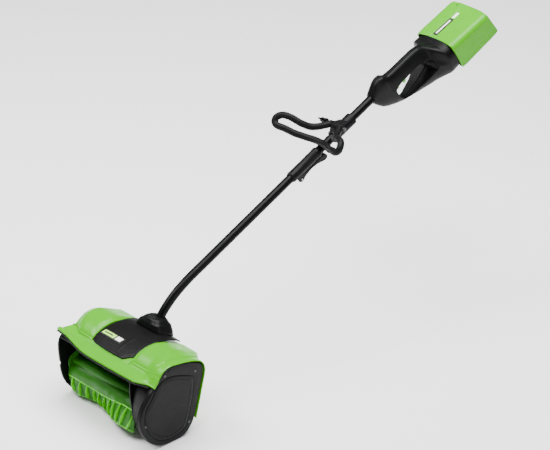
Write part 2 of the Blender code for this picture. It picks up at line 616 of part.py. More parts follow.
def build_loop():
    pivot = L(0, CLAMP_A - 26, CLAMP_B)
    # clamp: two shells round the tube, bolted across
    def half(sign, name):
        ring = []
        n = 12
        r0, r1 = TUBE_R + 0.35, 16.0
        for k in range(n + 1):
            t = math.pi * k / n
            ring.append((r1 * math.cos(t), sign * r1 * math.sin(t)))
        ring[0] = (r1, sign * 0.4)
        ring[-1] = (-r1, sign * 0.4)
        for k in range(n, -1, -1):
            t = math.pi * k / n
            y = r0 * math.sin(t)
            ring.append((r0 * math.cos(t), sign * max(0.4, y)))
        v, f = loft([[L(x, a, b) for x, b in ring] for a in (CLAMP_A - 46, CLAMP_A + 26)])
        return make(name, v, f, "black", L(0, CLAMP_A, 0))
    up = half(1, "clamp_upper")
    half(-1, "clamp_lower")
    # lug on top that carries the loop's bolt
    v, f = loft([[L(x, a, b) for a, b in ((CLAMP_A - 42, 13.2), (CLAMP_A - 37, 24), (CLAMP_A - 31, 28.5), (CLAMP_A - 20, 28.5), (CLAMP_A - 6, 20), (CLAMP_A + 4, 13.2))] for x in (-9.5, 9.5)])
    cut(up, "UNION", make("lug", v, f, "black"))
    v, f = solid_round(pivot - XA * 30, (1, 0, 0), [(3.3, 0), (3.3, 60)], 16)
    cut(up, "DIFFERENCE", make("lug_hole", v, f, "black"))
    # loop: one closed bar with a fork that straddles the lug
    pts = [(16, -130, 21.5), (24, -144, 24.5), (34, -159, 29), (46, -173, 37), (62, -184, 53), (84, -190, 68), (102, -198, 75), (112, -210, 74), (112, -220, 68),
           (102, -224, 62), (84, -218, 54), (62, -211, 41), (42, -201, 29), (20, -194, 23), (0, -192, 21.8)]
    line = pts + [(-x, a, b) for x, a, b in pts[-2::-1]]
    fine = smooth_line(line, 2)
    v, f = loft(sweep([L(*p) for p in fine], LOOP_R, 12, up=None))
    loop = make("loop_handle", v, f, "rubber", pivot)
    for s in (-1, 1):
        v, f = solid_round(pivot + XA * (10.0 * s if s > 0 else -19.5), (1, 0, 0), [(9.0, 0), (9.0, 9.5)], 20)
        cut(loop, "UNION", make("hub", v, f, "rubber"))
    v, f = solid_round(pivot - XA * 9.9, (1, 0, 0), [(14, 0), (14, 19.8)], 24)
    cut(loop, "DIFFERENCE", make("slot", v, f, "rubber"))
    v, f = solid_round(pivot - XA * 30, (1, 0, 0), [(3.3, 0), (3.3, 60)], 16)
    cut(loop, "DIFFERENCE", make("hub_hole", v, f, "rubber"))
    # bolt: head in the near hub, end in the knob
    v, f = solid_round(pivot + XA * 33.5, (-1, 0, 0), [(5.5, 0), (5.5, 4.0), (2.9, 4.1), (2.9, 68)], 16)
    make("clamp_bolt", v, f, "steel", pivot)
    # wing knob
    v, f = solid_round(pivot - XA * 31.4, (-1, 0, 0), [(8.5, 0), (8.5, 3), (6.5, 6), (6.5, 17), (5.5, 19)], 16)
    knob = make("wing_knob", v, f, "black", pivot)
    for s in (-1, 1):
        wing = [(4, 0), (15, 0), (18.5, 3), (19, 9), (16, 14), (10, 10), (4, 9)]
        ring0 = [pivot - XA * (36 + h * 0.9) + (N * 0.85 - T * 0.5).normalized() * (s * r) for r, h in wing]
        side = (N * 0.5 + T * 0.85).normalized() * 2.2
        v, f = loft([[p - side for p in ring0], [p + side for p in ring0]])
        cut(knob, "UNION", make("wing", v, f, "black"))
    v, f = solid_round(pivot - XA * 22, (-1, 0, 0), [(3.25, 0), (3.25, 17)], 14)
    cut(knob, "DIFFERENCE", make("knob_hole", v, f, "black"))


# ---------------------------------------------------------------- rear handle

def width_at(a):
    """Half width of the lower housing along the shaft."""
    line = [(-4, 13.5), (8, 15), (30, 18), (60, 20), (100, 22), (140, 27), (180, 39), (203, 54), (216, HOUSING_W), (232, HOUSING_W), (HOUSING_A1, HOUSING_W)]
    for (p, w), (q, u) in zip(line, line[1:]):
        if a <= q:
            s = (a - p) / (q - p)
            return w + (u - w) * s
    return line[-1][1]


def build_handle():
    # lower body and flare: rings along the shaft
    bottom = [(-4, -15), (6, -30), (18, -45), (34, -56), (54, -66), (80, -77), (110, -86), (140, -92.5), (175, -97), (210, -97), (HOUSING_A1, -92)]
    top = [(-4, 13.5), (6, 22), (20, 34), (34, 38.5), (46, 37), (60, 25.5), (80, 23.5), (110, 23), (140, 23), (160, 22.5), (178, 20), (196, 12), (212, 1), (222, -3.5), (HOUSING_A1, -6)]

    def val(line, a):
        for (p, w), (q, u) in zip(line, line[1:]):
            if a <= q:
                return w + (u - w) * (a - p) / (q - p)
        return line[-1][1]
    stations = [-4, 6, 18, 34, 46, 60, 80, 100, 120, 140, 160, 175, 190, 205, 218, 230, 238, HOUSING_A1]
    rings = []
    n = 24
    for a in stations:
        w, zt, zb = width_at(a), val(top, a), val(bottom, a)
        g = 17.0 if a > 50 else w
        wt = w if a < 50 else g + (w - g) * smoothstep(186, 222, a)     # the top follows the narrow grip, then flares
        cz, hz = (zt + zb) / 2, (zt - zb) / 2
        ring = []
        for k in range(n):
            t = 2 * math.pi * k / n
            e = 0.62
            cx = math.copysign(abs(math.cos(t)) ** e, math.cos(t))
            sz = math.copysign(abs(math.sin(t)) ** e, math.sin(t))
            ww = w + (wt - w) * max(0.0, sz) ** 0.7
            bb = cz + hz * sz
            lean = SLANT * max(0.0, -6 - bb) * smoothstep(150, HOUSING_A1, a)
            bow = BOW * (ww * cx / HOUSING_W) ** 2 * smoothstep(190, HOUSING_A1, a)
            ring.append(L(ww * cx, a + lean - bow, bb))
        rings.append(ring)
    # the rear face keeps the joint's shape for 6 mm inwards
    ring = []
    for k in range(n):
        t = 2 * math.pi * k / n
        cx = math.copysign(abs(math.cos(t)) ** 0.62, math.cos(t)) * (HOUSING_W - 6)
        bb = cz + (hz - 6) * math.copysign(abs(math.sin(t)) ** 0.62, math.sin(t))
        ring.append(L(cx, HOUSING_A1 + SLANT * max(0.0, -6 - bb) - BOW * (cx / HOUSING_W) ** 2, bb))
    rings.append(ring)
    v, f = loft(rings)
    body = make("handle_body", v, f, "black")
    # finger opening
    hole = smooth_line([(66, -24), (80, -17.5), (110, -15), (150, -12.5), (176, -14), (190, -22), (194, -38), (187, -53), (150, -67), (118, -73.5), (94, -75.5), (79, -65), (68, -43)], 3, closed=True)
    v, f = loft([[L(x, a, b) for a, b in hole] for x in (-80, 80)])
    cut(body, "DIFFERENCE", make("cut_hole", v, f, "black"))
    # hollow: follows the outside 3 mm in
    rings = []
    inner_st = [8, 18, 34, 46, 60, 80, 100, 120, 140, 160, 175, 190, 205, 218, 230, HOUSING_A1 + 24]
    for a in inner_st:
        w, zt, zb = width_at(a) - 3, val(top, a) - 3, val(bottom, a) + 3
        g = 14.0 if a > 50 else w
        wt = w if a < 50 else g + (w - g) * smoothstep(186, 222, a)
        cz, hz = (zt + zb) / 2, (zt - zb) / 2
        ring = []
        for k in range(n):
            t = 2 * math.pi * k / n
            e = 0.62
            cx = math.copysign(abs(math.cos(t)) ** e, math.cos(t))
            sz = math.copysign(abs(math.sin(t)) ** e, math.sin(t))
            ww = w + (wt - w) * max(0.0, sz) ** 0.7
            bb = cz + hz * sz
            lean = SLANT * max(0.0, -6 - bb) * smoothstep(150, HOUSING_A1, a)
            ring.append(L(ww * cx, a + lean, bb))
        rings.append(ring)
    v, f = loft(rings)
    core = make("core", v, f, "black")
    fat = smooth_line([(62, -21), (77, -13.5), (110, -11.2), (151, -8.8), (179, -10.2), (194.6, -19.4), (199.1, -38.3), (191.9, -58.1), (152.1, -71.9), (117.3, -78.3), (91.9, -80.3), (74.6, -68.7), (63.2, -44.7)], 3, closed=True)
    v, f = loft([[L(x, a, b) for a, b in fat] for x in (-80, 80)])
    cut(core, "DIFFERENCE", make("cut_core", v, f, "black"))
    cut(body, "DIFFERENCE", core)
    # seat for the tube
    v, f = loft(sweep([L(0, -12, 0), L(0, 20, 0)], TUBE_R + 0.4, 24))
    cut(body, "DIFFERENCE", make("seat", v, f, "black"))
    # window for the trigger in the underside of the grip, and for the lock-out behind it
    v, f = box_l(-7.4, 7.4, 76, 118, -22, 3)
    cut(body, "DIFFERENCE", make("slot_t", v, f, "black"))
    v, f = box_l(-7.43, 7.43, 50.3, 73.1, -37.3, -20.7)
    cut(body, "DIFFERENCE", make("slot_l", v, f, "black"))
    # split into two halves
    left = bpy.data.objects.new("handle_left", body.data.copy())
    bpy.context.scene.collection.objects.link(left)
    v, f = box_l(-0.15, 120, -40, 300, -150, 90)
    cut(left, "DIFFERENCE", make("half_a", v, f, "black"), solver="MANIFOLD")
    v, f = box_l(-120, 0.15, -40, 300, -150, 90)
    body.name = "handle_right"
    body.data.name = "handle_right"
    cut(body, "DIFFERENCE", make("half_b", v, f, "black"), solver="MANIFOLD")
    for o, nm in ((left, "handle_left"), (body, "handle_right")):
        o.data.materials.clear()
        o.data.materials.append(material(nm + "_mat", *PALETTE["black"][:1], PALETTE["black"][1]))

    # trigger on a pin near the front of the grip
    tp = L(0, 82, -2)
    outline = [(77, 2.2), (90, 1.5), (114, -4.5), (115, -7), (114, -18), (111, -31), (107, -36), (102, -36), (99, -26), (93, -17), (84, -11), (77, -6)]
    v, f = loft([[L(x, a, b) for a, b in outline] for x in (-7.0, 7.0)])
    trig = make("trigger", v, f, "green", tp)
    v, f = solid_round(tp - XA * 12, (1, 0, 0), [(1.9, 0), (1.9, 24)], 12)
    cut(trig, "DIFFERENCE", make("trig_hole", v, f, "green"))
    v, f = solid_round(tp - XA * 11.5, (1, 0, 0), [(1.6, 0), (1.6, 23)], 12)
    make("trigger_pin", v, f, "steel", tp)
    # lock-out slides into the housing along the shaft
    outline = [(54, -21.6), (68, -21.4), (80, -21.6), (84, -24), (85, -33), (82, -36), (68, -36.2), (54, -36.2)]
    v, f = loft([[L(x, a, b) for a, b in outline] for x in (-7.0, 7.0)])
    make("lockout_button", v, f, "green", L(0, 62, -29))

    # inside
    v, f = box_l(-8, 8, 84, 101, 8, 17, 0)
    make("switch_module", v, f, "black", L(0, 92, 12))
    v, f = box_l(-22, 22, 196, 234, -84, -80.5, 0)
    make("controller_board", v, f, "board", L(0, 210, -80))
    v, f = box_l(-24, 24, 222, 240, -62, -36, 2)
    make("terminal_block", v, f, "black", L(0, 230, -50))

    # battery housing: open at the rear
    def section(w, zt, zb, cut_top=0):
        """Cross-section with soft top corners and a flat underside."""
        pts = []
        flat_t, flat_b = w - 15, w - 9
        for cx, cz, r, a0, a1, run in ((w - 15, zt - 15, 15, 0, 90, (flat_t, zt, 6)), (-(w - 15), zt - 15, 15, 90, 180, None), (-(w - 9), zb + 9, 9, 180, 270, (-flat_b, zb, 6)), (w - 9, zb + 9, 9, 270, 360, None)):
            for i in range(5):
                t = math.radians(a0 + (a1 - a0) * i / 4)
                pts.append((cx + r * math.cos(t), cz + r * math.sin(t)))
            if run:
                x0, z0, m = run
                pts += [(x0 * (1 - 2 * i / m), z0) for i in range(1, m)]
        return pts
    def slant(a, b, x):
        """The joint and the rear rim lean and bow: their lower edge lies further back, their sides further forward."""
        k = SLANT + 0.09 * smoothstep(HOUSING_A1 + 20, COVER_A1, a)
        return a + (0.0 if b > -6 else (-6 - b) * k) - BOW * (x / HOUSING_W) ** 2
    a0, a1 = HOUSING_A1 + 0.5, COVER_A1
    so = [(a0, HOUSING_W + 1.0, -5.5, -91), (a0 + 14, HOUSING_W + 2.5, -5.5, -91.5), (a1 - 8, HOUSING_W + 3.0, -11, -88), (a1, HOUSING_W + 1.8, -12.4, -86.6)]
    outer = [[L(x * (1 + 0.03 * (zt - b) / 80), slant(a, b, x * (1 + 0.03 * (zt - b) / 80)), b) for x, b in section(w, zt, zb)] for a, w, zt, zb in so]
    inner = [[L(x * (1 + 0.03 * (zt - b) / 80), slant(a, b, x * (1 + 0.03 * (zt - b) / 80)), b) for x, b in section(w - 3, zt - 3, zb + 3)] for a, w, zt, zb in so]
    v, f = hollow(outer, inner)
    housing = make("battery_housing", v, f, "green")
    # notch in the rear rim and the release tab in it
    v, f = box_l(-36, 8, a1 - 15, a1 + 8, -24, 0)
    cut(housing, "DIFFERENCE", make("notch", v, f, "green"))
    v, f = loft([[L(x, a, b) for a, b in ((a1 - 14.4, -15.2), (a1 - 14.4, -12.6), (a1 - 6, -12.2), (a1 + 1.4, -12.8), (a1 + 1.4, -15.2))] for x in (-35.4, 7.4)])
    make("battery_release", v, f, "green", L(-14, a1 - 14, -14))
    # pack: block on rails, with a release tab on top
    v, f = loft([[L(x, slant(a, b, x) if a > 300 else a, b) for x, b in section(w, zt, zb)] for a, w, zt, zb in ((266, 54, -19, -82), (270, 56, -17.5, -83), (a1 - 5, 56, -17.5, -83), (a1 - 0.5, 54, -19, -82))])
    make("battery_pack", v, f, "black", L(0, 300, -50))


def screw(name, target, centre, normal, r=3.3, mat="steel"):
    """Screw head in its own pocket in the target's face; centre is on that face."""
    c, nrm = Vector(centre), Vector(normal).normalized()
    v, f = solid_round(c - nrm * 1.9, nrm, [(r + 0.35, 0), (r + 0.35, 12)], 14)
    cut(bpy.data.objects[target], "DIFFERENCE", make("pocket", v, f, mat))
    v, f = solid_round(c - nrm * 1.5, nrm, [(r, 0), (r, 0.9), (r - 0.7, 1.4)], 14)
    make(name, v, f, mat, centre)


def build_screws():
    for i, (y, z) in enumerate(((-22, 190), (72, 168), (-80, 76), (54, 36))):
        screw("cover_screw_%d" % (i + 1), "drive_cover", (184.0, y, z), (1, 0, 0))
    for i, (a, b) in enumerate(((16, -6), (122, -80.5), (206, -52), (40, 14))):
        c = L(-60.0, a, b)
        hit = surface_x("handle_left", c)
        if hit is not None:
            screw("handle_screw_%d" % (i + 1), "handle_left", hit, (-1, 0, 0), 3.0)


def surface_x(name, start):
    """First point of a piece's surface met when going along +X from start (millimetres)."""
    ob = bpy.data.objects[name]
    inv = ob.matrix_world.inverted()
    ok, loc, nrm, idx = ob.ray_cast(inv @ (Vector((-0.2, start.y * MM, start.z * MM))), Vector((1, 0, 0)))
    return (ob.matrix_world @ loc) / MM if ok else None


def main():
    clear()
    build_head()
    build_drive()
    build_liner()
    build_impeller()
    build_shaft()
    build_loop()
    build_handle()
    build_screws()


main()
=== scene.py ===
"""Cordless snow shovel: the finished look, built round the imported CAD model.

Every new piece is made here from mesh code, in the CAD's own frame, and rides on a CAD body.
Lengths in the code are millimetres and are scaled once, when a mesh is made.
"""

import math

import bmesh
import bpy
from mathutils import Matrix, Vector, noise


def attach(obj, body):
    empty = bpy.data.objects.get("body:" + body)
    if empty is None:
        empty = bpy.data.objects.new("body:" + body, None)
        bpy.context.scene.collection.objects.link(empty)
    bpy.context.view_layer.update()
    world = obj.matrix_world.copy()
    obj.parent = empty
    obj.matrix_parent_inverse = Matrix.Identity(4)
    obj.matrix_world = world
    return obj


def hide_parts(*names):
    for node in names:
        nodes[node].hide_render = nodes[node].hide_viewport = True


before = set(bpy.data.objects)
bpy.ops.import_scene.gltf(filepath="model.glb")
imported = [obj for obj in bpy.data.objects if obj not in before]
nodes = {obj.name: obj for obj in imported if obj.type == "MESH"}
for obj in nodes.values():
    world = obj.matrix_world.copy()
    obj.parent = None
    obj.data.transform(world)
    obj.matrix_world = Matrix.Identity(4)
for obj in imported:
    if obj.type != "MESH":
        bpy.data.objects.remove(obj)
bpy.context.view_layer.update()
MM = 0.001

# ---------------------------------------------------------------- shared geometry

COVER_HALF = 70.0
X_WALL = 114.0
X_FAR = -158.0
AXLE_Y, AXLE_Z = -16.0, 85.0
IMPELLER_R = 79.0
TUBE_R = 11.0
TUBE_WALL = 1.6
SHAFT_SLOPE = 0.48398
SHAFT_Z0 = 185.66
GRIP_Y = 822.4
SLEEVE_A0, SLEEVE_A1 = -308.0, -206.0
SPLIT_A = -262.0
HOUSING_W = 62.0
HOUSING_A1 = 244.0
COVER_A1 = 380.0
BOW = 6.0                # the housing joint is bowed: its sides lie further forward
SLANT = 0.16
GAP = 0.35
CLAMP_A = -104.0
CLAMP_B = 21.5
LOOP_R = 9.0

_run = math.hypot(1.0, SHAFT_SLOPE)
T = Vector((0.0, 1.0 / _run, SHAFT_SLOPE / _run))
N = Vector((0.0, -T.z, T.y))
XA = Vector((1.0, 0.0, 0.0))
H0 = Vector((0.0, GRIP_Y, SHAFT_Z0 + SHAFT_SLOPE * GRIP_Y))


def L(x, a, b):
    return H0 + XA * x + T * a + N * b


def smoothstep(a, b, x):
    t = min(1.0, max(0.0, (x - a) / (b - a)))
    return t * t * (3 - 2 * t)


def bump_at(x, centre, width):
    return math.exp(-((x - centre) / width) ** 2)


def smooth_line(points, step=1, closed=False):
    p = [tuple(q) for q in points]
    n = len(p)
    out = []
    for i in range(n if closed else n - 1):
        a = p[(i - 1) % n] if (closed or i > 0) else p[0]
        b, c = p[i], p[(i + 1) % n]
        d = p[(i + 2) % n] if (closed or i < n - 2) else p[-1]
        for s in range(step):
            t = s / step
            out.append(tuple(0.5 * (2 * b[k] + (c[k] - a[k]) * t + (2 * a[k] - 5 * b[k] + 4 * c[k] - d[k]) * t * t + (3 * b[k] - a[k] - 3 * c[k] + d[k]) * t ** 3) for k in range(len(b))))
    if not closed:
        out.append(p[-1])
    return out


def offset(outline, d, closed=True):
    n = len(outline)
    area = sum(outline[i][0] * outline[(i + 1) % n][1] - outline[(i + 1) % n][0] * outline[i][1] for i in range(n))
    sign = 1.0 if area > 0 else -1.0
    out = []
    for i in range(n):
        p = outline[i]
        e = []
        for u, v in ((outline[i - 1], p), (p, outline[(i + 1) % n])):
            l = math.hypot(v[0] - u[0], v[1] - u[1])
            if l > 1e-9:
                e.append((-(v[1] - u[1]) / l * sign, (v[0] - u[0]) / l * sign))
        nx, ny = sum(q[0] for q in e), sum(q[1] for q in e)
        l = math.hypot(nx, ny)
        nx, ny = nx / l, ny / l
        k = 1.0 / max(0.5, nx * e[0][0] + ny * e[0][1])
        out.append((p[0] + nx * d * k, p[1] + ny * d * k))
    return out


def loft(rings, cap=True, closed=False):
    n = len(rings[0])
    verts = [p for r in rings for p in r]
    faces = []
    m = len(rings)
    for i in range(m if closed else m - 1):
        j = (i + 1) % m
        for k in range(n):
            l = (k + 1) % n
            faces.append((i * n + k, i * n + l, j * n + l, j * n + k))
    if cap and not closed:
        faces.append(tuple(range(n))[::-1])
        faces.append(tuple((m - 1) * n + k for k in range(n)))
    return verts, faces


def sweep(points, radius, n=16, closed=False, up=None):
    pts = [Vector(p) for p in points]
    m = len(pts)
    tang = []
    for i in range(m):
        a = pts[(i - 1) % m] if (closed or i > 0) else pts[0]
        b = pts[(i + 1) % m] if (closed or i < m - 1) else pts[-1]
        tang.append((b - a).normalized())
    ref = Vector(up) if up else Vector((1, 0, 0))
    rings = []
    for i in range(m):
        s = (ref - tang[i] * ref.dot(tang[i])).normalized()
        if not up:
            ref = s
        q = tang[i].cross(s).normalized()
        r = radius(i / (m - 1)) if callable(radius) else radius
        rings.append([pts[i] + s * (r * math.cos(2 * math.pi * k / n)) + q * (r * math.sin(2 * math.pi * k / n)) for k in range(n)])
    return rings


def hollow(outer, inner):
    n = len(outer[0])
    m = len(outer)
    verts = [p for r in outer for p in r] + [p for r in inner for p in r]
    off = n * m
    faces = []
    for i in range(m - 1):
        for k in range(n):
            l = (k + 1) % n
            faces.append((i * n + k, i * n + l, (i + 1) * n + l, (i + 1) * n + k))
            faces.append((off + i * n + l, off + i * n + k, off + (i + 1) * n + k, off + (i + 1) * n + l))
    for k in range(n):
        l = (k + 1) % n
        faces.append((l, k, off + k, off + l))
        b = (m - 1) * n
        faces.append((b + k, b + l, off + b + l, off + b + k))
    return verts, faces


def solid_round(centre, axis, profile, n=32):
    axis = Vector(axis).normalized()
    ref = Vector((1, 0, 0)) if abs(axis.x) < 0.9 else Vector((0, 0, 1))
    s = (ref - axis * ref.dot(axis)).normalized()
    q = axis.cross(s)
    c = Vector(centre)
    return loft([[c + axis * h + (s * math.cos(2 * math.pi * k / n) + q * math.sin(2 * math.pi * k / n)) * r for k in range(n)] for r, h in profile])


def prism_x(outline, x0, x1):
    return loft([[Vector((x0, y, z)) for y, z in outline], [Vector((x1, y, z)) for y, z in outline]])


def box_l(x0, x1, a0, a1, b0, b1):
    ring = [(x0, b0), (x1, b0), (x1, b1), (x0, b1)]
    return loft([[L(x, a, b) for x, b in ring] for a in (a0, a1)])


def add(name, verts, faces, sharp=35.0):
    """A mesh object from millimetre points, closed and facing outwards."""
    me = bpy.data.meshes.new(name)
    me.from_pydata([tuple(Vector(v) * MM) for v in verts], [], faces)
    bm = bmesh.new()
    bm.from_mesh(me)
    bmesh.ops.remove_doubles(bm, verts=bm.verts, dist=1e-6)
    bmesh.ops.recalc_face_normals(bm, faces=bm.faces)
    if bm.calc_volume(signed=True) < 0:
        bmesh.ops.reverse_faces(bm, faces=bm.faces)
    bm.to_mesh(me)
    bm.free()
    ob = bpy.data.objects.new(name, me)
    bpy.context.scene.collection.objects.link(ob)
    me.shade_smooth()
    me.set_sharp_from_angle(angle=math.radians(sharp))
    return ob


def bake_modifiers(ob, sharp=None):
    """The modifiers' result becomes the object's own mesh."""
    dg = bpy.context.evaluated_depsgraph_get()
    me = bpy.data.meshes.new_from_object(ob.evaluated_get(dg))
    ob.modifiers.clear()
    old = ob.data
    ob.data = me
    bpy.data.meshes.remove(old)
    me.shade_smooth()
    if sharp:
        me.set_sharp_from_angle(angle=math.radians(sharp))
    return ob


def cut(ob, op, *others, solver="EXACT", sharp=35.0):
    for other in others:
        mod = ob.modifiers.new("b", "BOOLEAN")
        mod.operation = op
        mod.solver = solver
        mod.object = other
        bake_modifiers(ob, sharp)
        me2 = other.data
        bpy.data.objects.remove(other, do_unlink=True)
        bpy.data.meshes.remove(me2)
    return ob


def moulded(ob, voxel=0.8, rounds=4, factor=0.5, subdivide=False):
    """Rounds every edge the way a moulded part has them: one skin over all the solids in the mesh, relaxed a little."""
    mod = ob.modifiers.new("skin", "REMESH")
    mod.mode = "VOXEL"
    mod.voxel_size = voxel * MM
    mod.adaptivity = 0.0
    s = ob.modifiers.new("relax", "SMOOTH")
    s.factor = factor
    s.iterations = rounds
    bake_modifiers(ob)
    return ob


def copy_of(name, new=None):
    """A new object with a CAD node's shape, to be worked on."""
    me = nodes[name].data.copy()
    ob = bpy.data.objects.new(new or "look_" + name, me)
    bpy.context.scene.collection.objects.link(ob)
    bm = bmesh.new()
    bm.from_mesh(me)
    bmesh.ops.remove_doubles(bm, verts=bm.verts, dist=2e-6)
    bmesh.ops.dissolve_limit(bm, angle_limit=math.radians(0.6), verts=bm.verts, edges=bm.edges)
    bm.to_mesh(me)
    bm.free()
    me.materials.clear()
    return ob


def bevelled(name, width=0.8, seg=3, angle=32.0):
    ob = copy_of(name)
    b = ob.modifiers.new("edge", "BEVEL")
    b.width = width * MM
    b.segments = seg
    b.limit_method = "ANGLE"
    b.angle_limit = math.radians(angle)
    b.use_clamp_overlap = True
    bake_modifiers(ob, 40)
    return ob


def join(name, *obs):
    """Several solids in one mesh."""
    bm = bmesh.new()
    for o in obs:
        bm.from_mesh(o.data)
    me = bpy.data.meshes.new(name)
    bm.to_mesh(me)
    bm.free()
    for o in obs:
        d = o.data
        bpy.data.objects.remove(o, do_unlink=True)
        bpy.data.meshes.remove(d)
    ob = bpy.data.objects.new(name, me)
    bpy.context.scene.collection.objects.link(ob)
    return ob


def place(ob, body, mat, slot, *replaced):
    ob.data.materials.clear()
    ob.data.materials.append(mat)
    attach(ob, body)
    if replaced:
        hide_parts(*replaced)
    return ob


# ---------------------------------------------------------------- materials

def surface(name, rgb, rough, metal=0.0, grain=(1500.0, 0.12, 0.00012), vary=0.06, rough_vary=0.07, scale=14.0, coat=0.0, coat_rough=0.08,
            spec=0.5, wear=None, speck=None, streak=None):
    """Principled material with large soft colour changes, a fine moulded or painted grain, and an uneven gloss."""
    m = bpy.data.materials.new(name)
    m.use_nodes = True
    nt = m.node_tree
    nt.nodes.clear()
    nn, ln = nt.nodes.new, nt.links.new
    out = nn("ShaderNodeOutputMaterial")
    b = nn("ShaderNodeBsdfPrincipled")
    ln(b.outputs["BSDF"], out.inputs["Surface"])
    b.inputs["Metallic"].default_value = metal
    b.inputs["Specular IOR Level"].default_value = spec
    b.inputs["Coat Weight"].default_value = coat
    b.inputs["Coat Roughness"].default_value = coat_rough
    tc = nn("ShaderNodeTexCoord")
    base = tc.outputs["Object"]
    if streak:
        mp = nn("ShaderNodeMapping")
        mp.inputs["Rotation"].default_value = streak[0]
        mp.inputs["Scale"].default_value = streak[1]
        ln(base, mp.inputs["Vector"])
        grain_in = mp.outputs["Vector"]
    else:
        grain_in = base
    big = nn("ShaderNodeTexNoise")
    big.inputs["Scale"].default_value = scale
    big.inputs["Detail"].default_value = 5.0
    big.inputs["Roughness"].default_value = 0.6
    ln(base, big.inputs["Vector"])
    ramp = nn("ShaderNodeValToRGB")
    ramp.color_ramp.elements[0].position = 0.3
    ramp.color_ramp.elements[1].position = 0.7
    ramp.color_ramp.elements[0].color = (*[c * (1 - vary) for c in rgb], 1)
    ramp.color_ramp.elements[1].color = (*[min(1, c * (1 + vary)) for c in rgb], 1)
    ln(big.outputs["Fac"], ramp.inputs["Fac"])
    colour = ramp.outputs["Color"]
    fine = nn("ShaderNodeTexNoise")
    fine.inputs["Scale"].default_value = grain[0]
    fine.inputs["Detail"].default_value = 3.0
    ln(grain_in, fine.inputs["Vector"])
    if speck:
        sp = nn("ShaderNodeMapRange")
        sp.inputs["From Min"].default_value = speck[0]
        sp.inputs["From Max"].default_value = speck[0] + 0.08
        sp.inputs["To Min"].default_value = 0.0
        sp.inputs["To Max"].default_value = speck[2]
        ln(fine.outputs["Fac"], sp.inputs["Value"])
        mix = nn("ShaderNodeMix")
        mix.data_type = "RGBA"
        mix.inputs[7].default_value = (*speck[1], 1)
        ln(sp.outputs["Result"], mix.inputs["Factor"])
        ln(colour, mix.inputs[6])
        colour = mix.outputs[2]
    if wear:
        geo = nn("ShaderNodeNewGeometry")
        wr = nn("ShaderNodeMapRange")
        wr.inputs["From Min"].default_value = wear[0]
        wr.inputs["From Max"].default_value = wear[1]
        wr.inputs["To Min"].default_value = 0.0
        wr.inputs["To Max"].default_value = wear[3]
        ln(geo.outputs["Pointiness"], wr.inputs["Value"])
        mix = nn("ShaderNodeMix")
        mix.data_type = "RGBA"
        mix.inputs[7].default_value = (*wear[2], 1)
        ln(wr.outputs["Result"], mix.inputs["Factor"])
        ln(colour, mix.inputs[6])
        colour = mix.outputs[2]
    ln(colour, b.inputs["Base Color"])
    mid = nn("ShaderNodeTexNoise")
    mid.inputs["Scale"].default_value = scale * 5.5
    mid.inputs["Detail"].default_value = 4.0
    ln(base, mid.inputs["Vector"])
    mr = nn("ShaderNodeMapRange")
    mr.inputs["From Min"].default_value = 0.25
    mr.inputs["From Max"].default_value = 0.75
    mr.inputs["To Min"].default_value = max(0.03, rough - rough_vary)
    mr.inputs["To Max"].default_value = min(1.0, rough + rough_vary)
    ln(mid.outputs["Fac"], mr.inputs["Value"])
    ln(mr.outputs["Result"], b.inputs["Roughness"])
    bp = nn("ShaderNodeBump")
    bp.inputs["Strength"].default_value = grain[1]
    bp.inputs["Distance"].default_value = grain[2]
    ln(fine.outputs["Fac"], bp.inputs["Height"])
    ln(bp.outputs["Normal"], b.inputs["Normal"])
    return m


